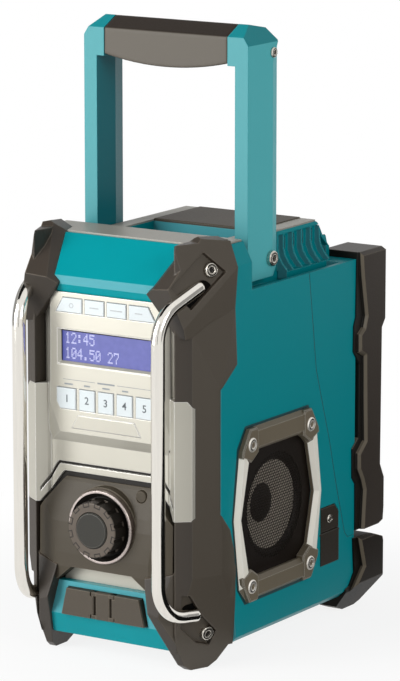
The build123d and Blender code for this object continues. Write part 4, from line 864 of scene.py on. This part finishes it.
class RADIO_OT_front_panel(bpy.types.Operator):
    """Paint the front panel and print its marks"""
    bl_idname = "radio.front_panel"
    bl_label = "Front panel"

    def execute(self, context):
        dress(silver_paint(), "fascia")
        dress(soft_touch_panel(), "control_panel", "round_button")
        form = slabs([PLAQUE], PLAQUE_DEPTH, PLAQUE_THICK)
        front = spot(0, PLAQUE_DEPTH + PLAQUE_THICK / 2, 0).y
        bevelled(form, lambda place: place.y < front, 0.5)
        add_piece("bare_plaque", form, [silver_paint("plaque_paint", "A9A69B")])
        # Near-black sheets over the silver pocket floor around the control panel: painted shade
        # in the gaps
        gaps = [[(sign * x, z) for x, z in (a, b, c, (x2, z2 + 0.01))]
                for a, b, c, (x2, z2) in zip(GAP_INNER, GAP_INNER[1:], GAP_OUTER[1:], GAP_OUTER)
                for _, sign in SIDES]
        form = slabs(gaps + [whole([GAP_INNER[-1], GAP_OUTER[-1]])], GAP_DEPTH, SHEET)
        add_piece("panel_gaps", slabs([whole(POCKET)], POCKET_DEPTH, SHEET, form),
                  [made("dark_nylon")])
        add_piece("panel_marks", slabs([rectangle(*m) for m in MARKS], PANEL_INK, INK),
                  [printed("grey_ink", "ink")])
        return {"FINISHED"}


class RADIO_OT_keys(bpy.types.Operator):
    """Finish the keys and print plain numbers on them"""
    bl_idname = "radio.keys"
    bl_label = "Keys"

    def execute(self, context):
        white = key_plastic()
        dark = printed("dark_ink", "4C5256")
        pale = printed("pale_ink", "9DA1A3")
        for n, x in enumerate(PRESET_KEYS, 1):
            key = f"preset_key_{n}"
            dress(white, key)
            add_piece(f"number_{n}",
                      numeral(str(n), size("numeral"), x, KEY_INK, PRESET_HEIGHT),
                      [dark], key)
        inner, outer = HEXAGON_RADII
        hexagon = ring_of_bands([
            [spot(*HEXAGON) + p * mm(r) - BACK * mm(rise) for p in circle(RIGHT, UP, 6)]
            for r, rise in ((inner, 0), (outer, 0), (outer, INK), (inner, INK))])
        dashes = [slabs([rectangle(*dash, *DASH_HEIGHTS)], KEY_INK, INK) for dash in DASHES]
        for n, form in enumerate([hexagon] + dashes, 1):
            key = f"mode_key_{n}"
            dress(white, key)
            add_piece(f"mode_mark_{n}", form, [pale], key)
        return {"FINISHED"}


class RADIO_OT_display(bpy.types.Operator):
    """Build the sunken display with plain numbers on it"""
    bl_idname = "radio.display"
    bl_label = "Display"

    def execute(self, context):
        outer = rectangle(-39.7, 39.7, 204, 228.7)
        brow = [(x * 0.99, z + (0.5 if z < 216 else -0.4)) for x, z in outer]
        inner = rectangle(*SCREEN_EDGE)
        form = ring_of_bands([[spot(x, depth, z) for x, z in outline] for outline, depth in (
            (outer, 1.9), (brow, 1.9), (inner, 3.6), (inner, SCREEN_DEPTH), (inner, 4.5),
            (outer, 4.5))])
        add_piece("display_surround", form, [made("silver_paint")],
                  stands_for=["display_lens"])
        add_piece("screen_panel", slabs([rectangle(*SCREEN_PANEL)], SCREEN_DEPTH, 0.4),
                  [lit_screen()])
        # Dark strips along the screen's top and left edges only
        strips = [rectangle(*strip) for strip in SCREEN_DARK_STRIPS]
        add_piece("screen_gasket", slabs(strips, SCREEN_DEPTH - 0.3, 0.2),
                  [made("dark_nylon")])
        pitch = size("screen_dot")
        lit = [(place * LETTER + column, row, top) for text, top in SCREEN_LINES
               for place, letter in enumerate(text)
               for row, line in enumerate(DOTS[letter].split())
               for column, dot in enumerate(line) if dot == "1"]
        corners = [(SCREEN_LEFT + column * pitch, top - row * pitch * DOT_ROW)
                   for column, row, top in lit]
        dots = [rectangle(x, x + pitch * DOT_WIDTH, z - pitch * DOT_HEIGHT, z)
                for x, z in corners]
        add_piece("screen_numbers", slabs(dots, SCREEN_DEPTH - 0.04, INK),
                  [printed("lit_dots", "screen_dots", 0.12)])
        return {"FINISHED"}


class RADIO_OT_knob(bpy.types.Operator):
    """Turn the knob's ribbed crown and finish its cap"""
    bl_idname = "radio.knob"
    bl_label = "Knob"

    def execute(self, context):
        # The crown's sides take a near-black colour: painted shade
        dress(darker_sides(knob_crown(), "1B1814"), "knob_dial")
        dress(knob_cap_lacquer(), "knob_cap")
        # Thin near-black U-shaped sheets around the crown's twelve notches: painted shade in the
        # notches
        form = bmesh.new()
        centre = spot(0, CROWN_DEPTH, KNOB_HEIGHT)
        for out in circle(RIGHT, UP, 12, 15):
            along = out.cross(BACK)
            for r, r2, u, u2 in ((16.0, 16.7, -2.5, 2.5), (16.7, 19.4, -2.5, -1.9),
                                 (16.7, 19.4, 1.9, 2.5)):
                bar_between(form, [centre + out * mm(a) + along * mm(b)
                                   for a, b in ((r, u), (r2, u), (r2, u2), (r, u2))],
                            BACK * mm(SHEET))
        add_piece("crown_notches", form, [made("dark_nylon")], "knob_dial")
        form = bmesh.new()
        turned(form, [(25.6, 0), (25.6, 3.9), (25.1, 4.5), (23.7, 4.5), (23.4, 4.0), (20.9, 1.2),
                      (20.8, 0.2)], spot(0, BEZEL_DEPTH, KNOB_HEIGHT), RIGHT, UP, -BACK, 128,
               dark=(3, 4, 5, 6))
        add_piece("bezel_ring", form, [ring_chrome(), made("dark_nylon")],
                  stands_for=["knob_bezel"])
        return {"FINISHED"}


class RADIO_OT_speakers(bpy.types.Operator):
    """Build the loudspeakers behind their perforated plates"""
    bl_idname = "radio.speakers"
    bl_label = "Loudspeakers"

    def execute(self, context):
        nylon, black = frame_plastic(), made("dark_nylon")
        silver = silver_paint("frame_silver", "F0ECE0", 0.36, 0.05)
        shade = printed("seat_shadow", "033A3F")
        screws = bmesh.new()
        for side, sign in SIDES:
            # A thin dark teal ring just around each frame: a painted shadow where the frame sits
            # in the shell
            shadow_ring = ring_of_bands([
                speaker_loop(FRAME_SHADOW, grow, out, sign) for grow, out in
                ((0.97, 75.9), (0.97, 76.06), (1.03, 76.06), (1.03, 75.9))])
            add_piece(f"speaker_seat_{side}", shadow_ring, [shade])
            # The uprights are silver on their fronts and on the chamfers that look forwards; the
            # chamfers that look back take the dark frame colour, painted shade
            ring = ring_of_bands([
                speaker_loop(half, grow, out, sign) for half, grow, out in (
                    (FRAME_OUTLINE, 1, 74), (FRAME_OUTLINE, 1, 76.6),
                    (FRAME_OUTLINE, 0.955, 79.6), (FRAME_OPENING, 1.045, 79.6),
                    (FRAME_OPENING, 0.985, 76.6), (FRAME_OPENING, 0.985, 74))],
                lambda band, k: (k in (1, 2) and band in (1, 2)
                                 or k in (6, 7) and band in (2, 3)))
            add_piece(f"speaker_ring_{side}", ring, [silver, nylon],
                      stands_for=[f"speaker_frame_{side}"])
            form = bmesh.new()
            for over in (1, -1):
                for back in (1, -1):
                    bar_between(form, [spot(sign * CORNER_OUT, SPEAKER_DEPTH + back * w,
                                            FRAME_HEIGHT + over * (z - FRAME_HEIGHT))
                                       for w, z in FRAME_CORNER],
                                RIGHT * sign * mm(CORNER_THICK))
                    x, d, z = FRAME_SCREW
                    socket_screw(screws, spot(sign * x, SPEAKER_DEPTH + back * d,
                                              FRAME_HEIGHT + over * z),
                                 RIGHT * sign, 5.0, 1.1, 1.5, 9)
            outside = mm(CORNER_OUT + CORNER_THICK / 2)
            bevelled(form, lambda place: abs(place.x) > outside, CORNER_ROUND)
            add_piece(f"speaker_corners_{side}", form, [nylon])
        add_piece("speaker_screw_heads", screws, [satin_steel(), black],
                  stands_for=["speaker_frame_screws"])
        plate, paper = grille_plate(), cone_paper()
        for side, sign in SIDES:
            grille, driver = f"speaker_grille_{side}", f"speaker_driver_{side}"
            add_piece(f"{grille}_holes", perforated(sign), [plate],
                      stands_for=[grille])
            centre, out = spot(sign * DRIVER_OUT, SPEAKER_DEPTH, SPEAKER_HEIGHT), RIGHT * sign
            surround = ring_of_bands([
                [centre + p * mm(r) + out * mm(offset) for p in circle(BACK, UP, 96)]
                for r, offset in ((46, 1.8), (46, 2.2), (34.6, 2.2), (33.6, 2.4), (32.4, 1.9),
                                  (31.4, 0.9), (31, 0.4), (30.8, -1.5))])
            cone, dome = bmesh.new(), bmesh.new()
            turned(cone, [(8, -17.5), (10, -13), (12.6, -8.4), (14, -7.2), (20, -4.9),
                          (26, -2.2), (30.9, 0.2), (31.1, -0.5), (26.4, -3.2), (10.6, -14),
                          (8.4, -18)], centre, BACK, UP, out, 96)
            turned(dome, [(13.6, -9), (13.6, -7.2), (12.8, -6.6), (11, -5.6), (8, -4.7),
                          (4.5, -4.1), (0.5, -3.8)], centre, BACK, UP, out, 64)
            add_piece(f"{driver}_surround", surround, [black],
                      stands_for=[driver], smooth=True)
            add_piece(f"{driver}_cone", cone, [paper], smooth=True)
            add_piece(f"{driver}_dome", dome, [black], smooth=True)
        return {"FINISHED"}


class RADIO_OT_handle_grip(bpy.types.Operator):
    """Mould the soft grip of the handle"""
    bl_idname = "radio.handle_grip"
    bl_label = "Handle grip"

    def execute(self, context):
        # The grip's front faces take a paler colour: a painted highlight
        add_piece("handle_grip_soft", softened("handle_grip_soft", "handle_grip", 0.9, 2),
                  [sided(grip_rubber(), "grip", "grip", "5C574F")],
                  "handle", ["handle_grip"])
        return {"FINISHED"}


def seen_directly(tree):
    """Node that is 1 for rays that see a surface straight, in a mirror or through glass."""
    rays = add_node(tree, "LightPath").outputs
    seen = add_node(tree, "Math", {0: rays["Is Camera Ray"], 1: rays["Is Glossy Ray"]},
                    operation="MAXIMUM")
    return add_node(tree, "Math", {0: seen, 1: rays["Is Transmission Ray"]},
                    operation="MAXIMUM")


class RADIO_OT_stage(bpy.types.Operator):
    """Set the floor, the light and the camera"""
    bl_idname = "radio.stage"
    bl_label = "Stage"

    def execute(self, context):
        scene = context.scene
        scene.view_settings.view_transform = "Standard"
        self.lay_floor()
        self.light(scene)
        self.hang_cards()
        camera = bpy.data.cameras.new("camera")
        camera.lens = 204.04
        camera.clip_end = 20
        scene.camera = put("camera", camera)
        scene.camera.location = (1.4286, -2.2062, 0.7382)
        scene.camera.rotation_euler = (math.radians(78.552), 0, math.radians(32.81))
        return {"FINISHED"}

    def lay_floor(self):
        """Round floor that is seen as plain white further out, and takes shadows close by."""
        form = bmesh.new()
        rings = [[form.verts.new(way * r) for way in circle(RIGHT, BACK, 64)]
                 for r in (0.02, 0.3, 0.6, 1.2, 2.5, 6.0)]
        form.faces.new(rings[0])
        for low, high in zip(rings, rings[1:]):
            bridge(form, low, high)
        floor = put("floor", mesh_of("floor", form))
        material, tree = new_material("white_card")
        where = add_node(tree, "NewGeometry").outputs["Position"]
        away = add_node(tree, "VectorMath", {0: where}, operation="LENGTH").outputs["Value"]
        fade = add_node(tree, "MapRange", {"Value": away, "From Min": 0.12, "From Max": 0.42,
                                           "To Min": 0.86}, interpolation_type="SMOOTHSTEP")
        white = add_node(tree, "Math", {0: seen_directly(tree), 1: fade},
                         operation="MULTIPLY")
        card = add_node(tree, "BsdfDiffuse", {"Color": (0.86, 0.86, 0.86, 1)})
        glow = add_node(tree, "Emission", {"Color": (1, 1, 1, 1), "Strength": 1.0})
        mixed = add_node(tree, "MixShader", {"Fac": white, 1: card, 2: glow})
        add_node(tree, "OutputMaterial", {"Surface": mixed})
        floor.data.materials.append(material)

    def light(self, scene):
        """White world that lights only a little, and three square lamps."""
        scene.world = bpy.data.worlds.new("studio")
        scene.world.use_nodes = True
        tree = scene.world.node_tree
        tree.nodes.clear()
        air, back = (add_node(tree, "Background", {"Color": (1, 1, 1, 1), "Strength": power})
                     for power in (0.28, 1.0))
        mixed = add_node(tree, "MixShader", {"Fac": seen_directly(tree), 1: air, 2: back})
        add_node(tree, "OutputWorld", {"Surface": mixed})
        for name, place, aim, width, power in (
                ("front_box", (-0.75, -1.15, 0.34), (0, 0, 0.24), 0.65, 8),
                ("key_box", (-0.85, -1.8, 1.1), (0, 0, 0.2), 1.1, 36),
                ("side_box", (1.9, -0.75, 0.95), (0, 0, 0.2), 0.9, 14)):
            lamp = bpy.data.lights.new(name, "AREA")
            lamp.shape = "SQUARE"
            lamp.size = width
            lamp.energy = power
            holder = put(name, lamp)
            holder.location = place
            turn = (Vector(aim) - Vector(place)).to_track_quat("-Z", "Y")
            holder.rotation_euler = turn.to_euler()

    def hang_cards(self):
        """Black and grey cards that only reflections see."""
        black, tree = new_material("black_card")
        felt = add_node(tree, "BsdfDiffuse", {"Color": (0.01, 0.01, 0.01, 1)})
        add_node(tree, "OutputMaterial", {"Surface": felt})
        grey, tree = new_material("grey_card")
        veil = add_node(tree, "Emission", {"Strength": 0.35})
        add_node(tree, "OutputMaterial", {"Surface": veil})
        for name, material, corners in (
                ("card_behind", black, ((0.09, -0.1, 0.002), (0.5, -0.25, 0.002),
                                        (1.15, 0.8, 0.002), (0.25, 1.15, 0.002))),
                ("card_above", black, ((-1.3, -0.75, 1.25), (-0.3, -0.75, 1.25),
                                       (0.1, 0.5, 1.25), (-1.3, 0.5, 1.25))),
                ("grey_left", grey, ((-1.4, -1.4, 0.0), (-1.4, 1.2, 0.0), (-1.4, 1.2, 1.2),
                                     (-1.4, -1.4, 1.2))),
                ("grey_right", grey, ((1.5, -0.35, 0.0), (1.5, 1.1, 0.0), (1.5, 1.1, 1.2),
                                      (1.5, -0.35, 1.2))),
                ("card_right", black, ((0.62, -1.75, 0.0), (0.82, -1.7, 0.0),
                                       (0.82, -1.7, 1.3), (0.62, -1.75, 1.3)))):
            form = bmesh.new()
            form.faces.new([form.verts.new(p) for p in corners])
            card = put(name, mesh_of(name, form))
            card.data.materials.append(material)
            card.visible_camera = False
            card.visible_diffuse = False
            card.visible_shadow = False


class RADIO_PT_build(bpy.types.Panel):
    """Build steps of the radio"""
    bl_idname = "RADIO_PT_build"
    bl_label = "Jobsite radio"
    bl_space_type = "VIEW_3D"
    bl_region_type = "UI"
    bl_category = "Radio"

    def draw(self, context):
        for step in steps:
            self.layout.operator(step.bl_idname)
        for name in RadioColours.__annotations__:
            self.layout.prop(context.scene.radio_colours, name)
        for name in RadioSizes.__annotations__:
            self.layout.prop(context.scene.radio_sizes, name)


steps = (RADIO_OT_shells, RADIO_OT_bumpers, RADIO_OT_guard_bars, RADIO_OT_front_panel,
         RADIO_OT_keys, RADIO_OT_display, RADIO_OT_knob, RADIO_OT_speakers,
         RADIO_OT_handle_grip, RADIO_OT_stage)
classes = (RadioColours, RadioSizes) + steps + (RADIO_PT_build,)


def register():
    for kind in classes:
        bpy.utils.register_class(kind)
    bpy.types.Scene.radio_colours = bpy.props.PointerProperty(type=RadioColours)
    bpy.types.Scene.radio_sizes = bpy.props.PointerProperty(type=RadioSizes)


def unregister():
    del bpy.types.Scene.radio_sizes
    del bpy.types.Scene.radio_colours
    for kind in reversed(classes):
        bpy.utils.unregister_class(kind)


def main():
    """Builds every piece in order."""
    register()
    for step in steps:
        group, name = step.bl_idname.split(".")
        getattr(getattr(bpy.ops, group), name)()


if __name__ == "__main__":
    main()
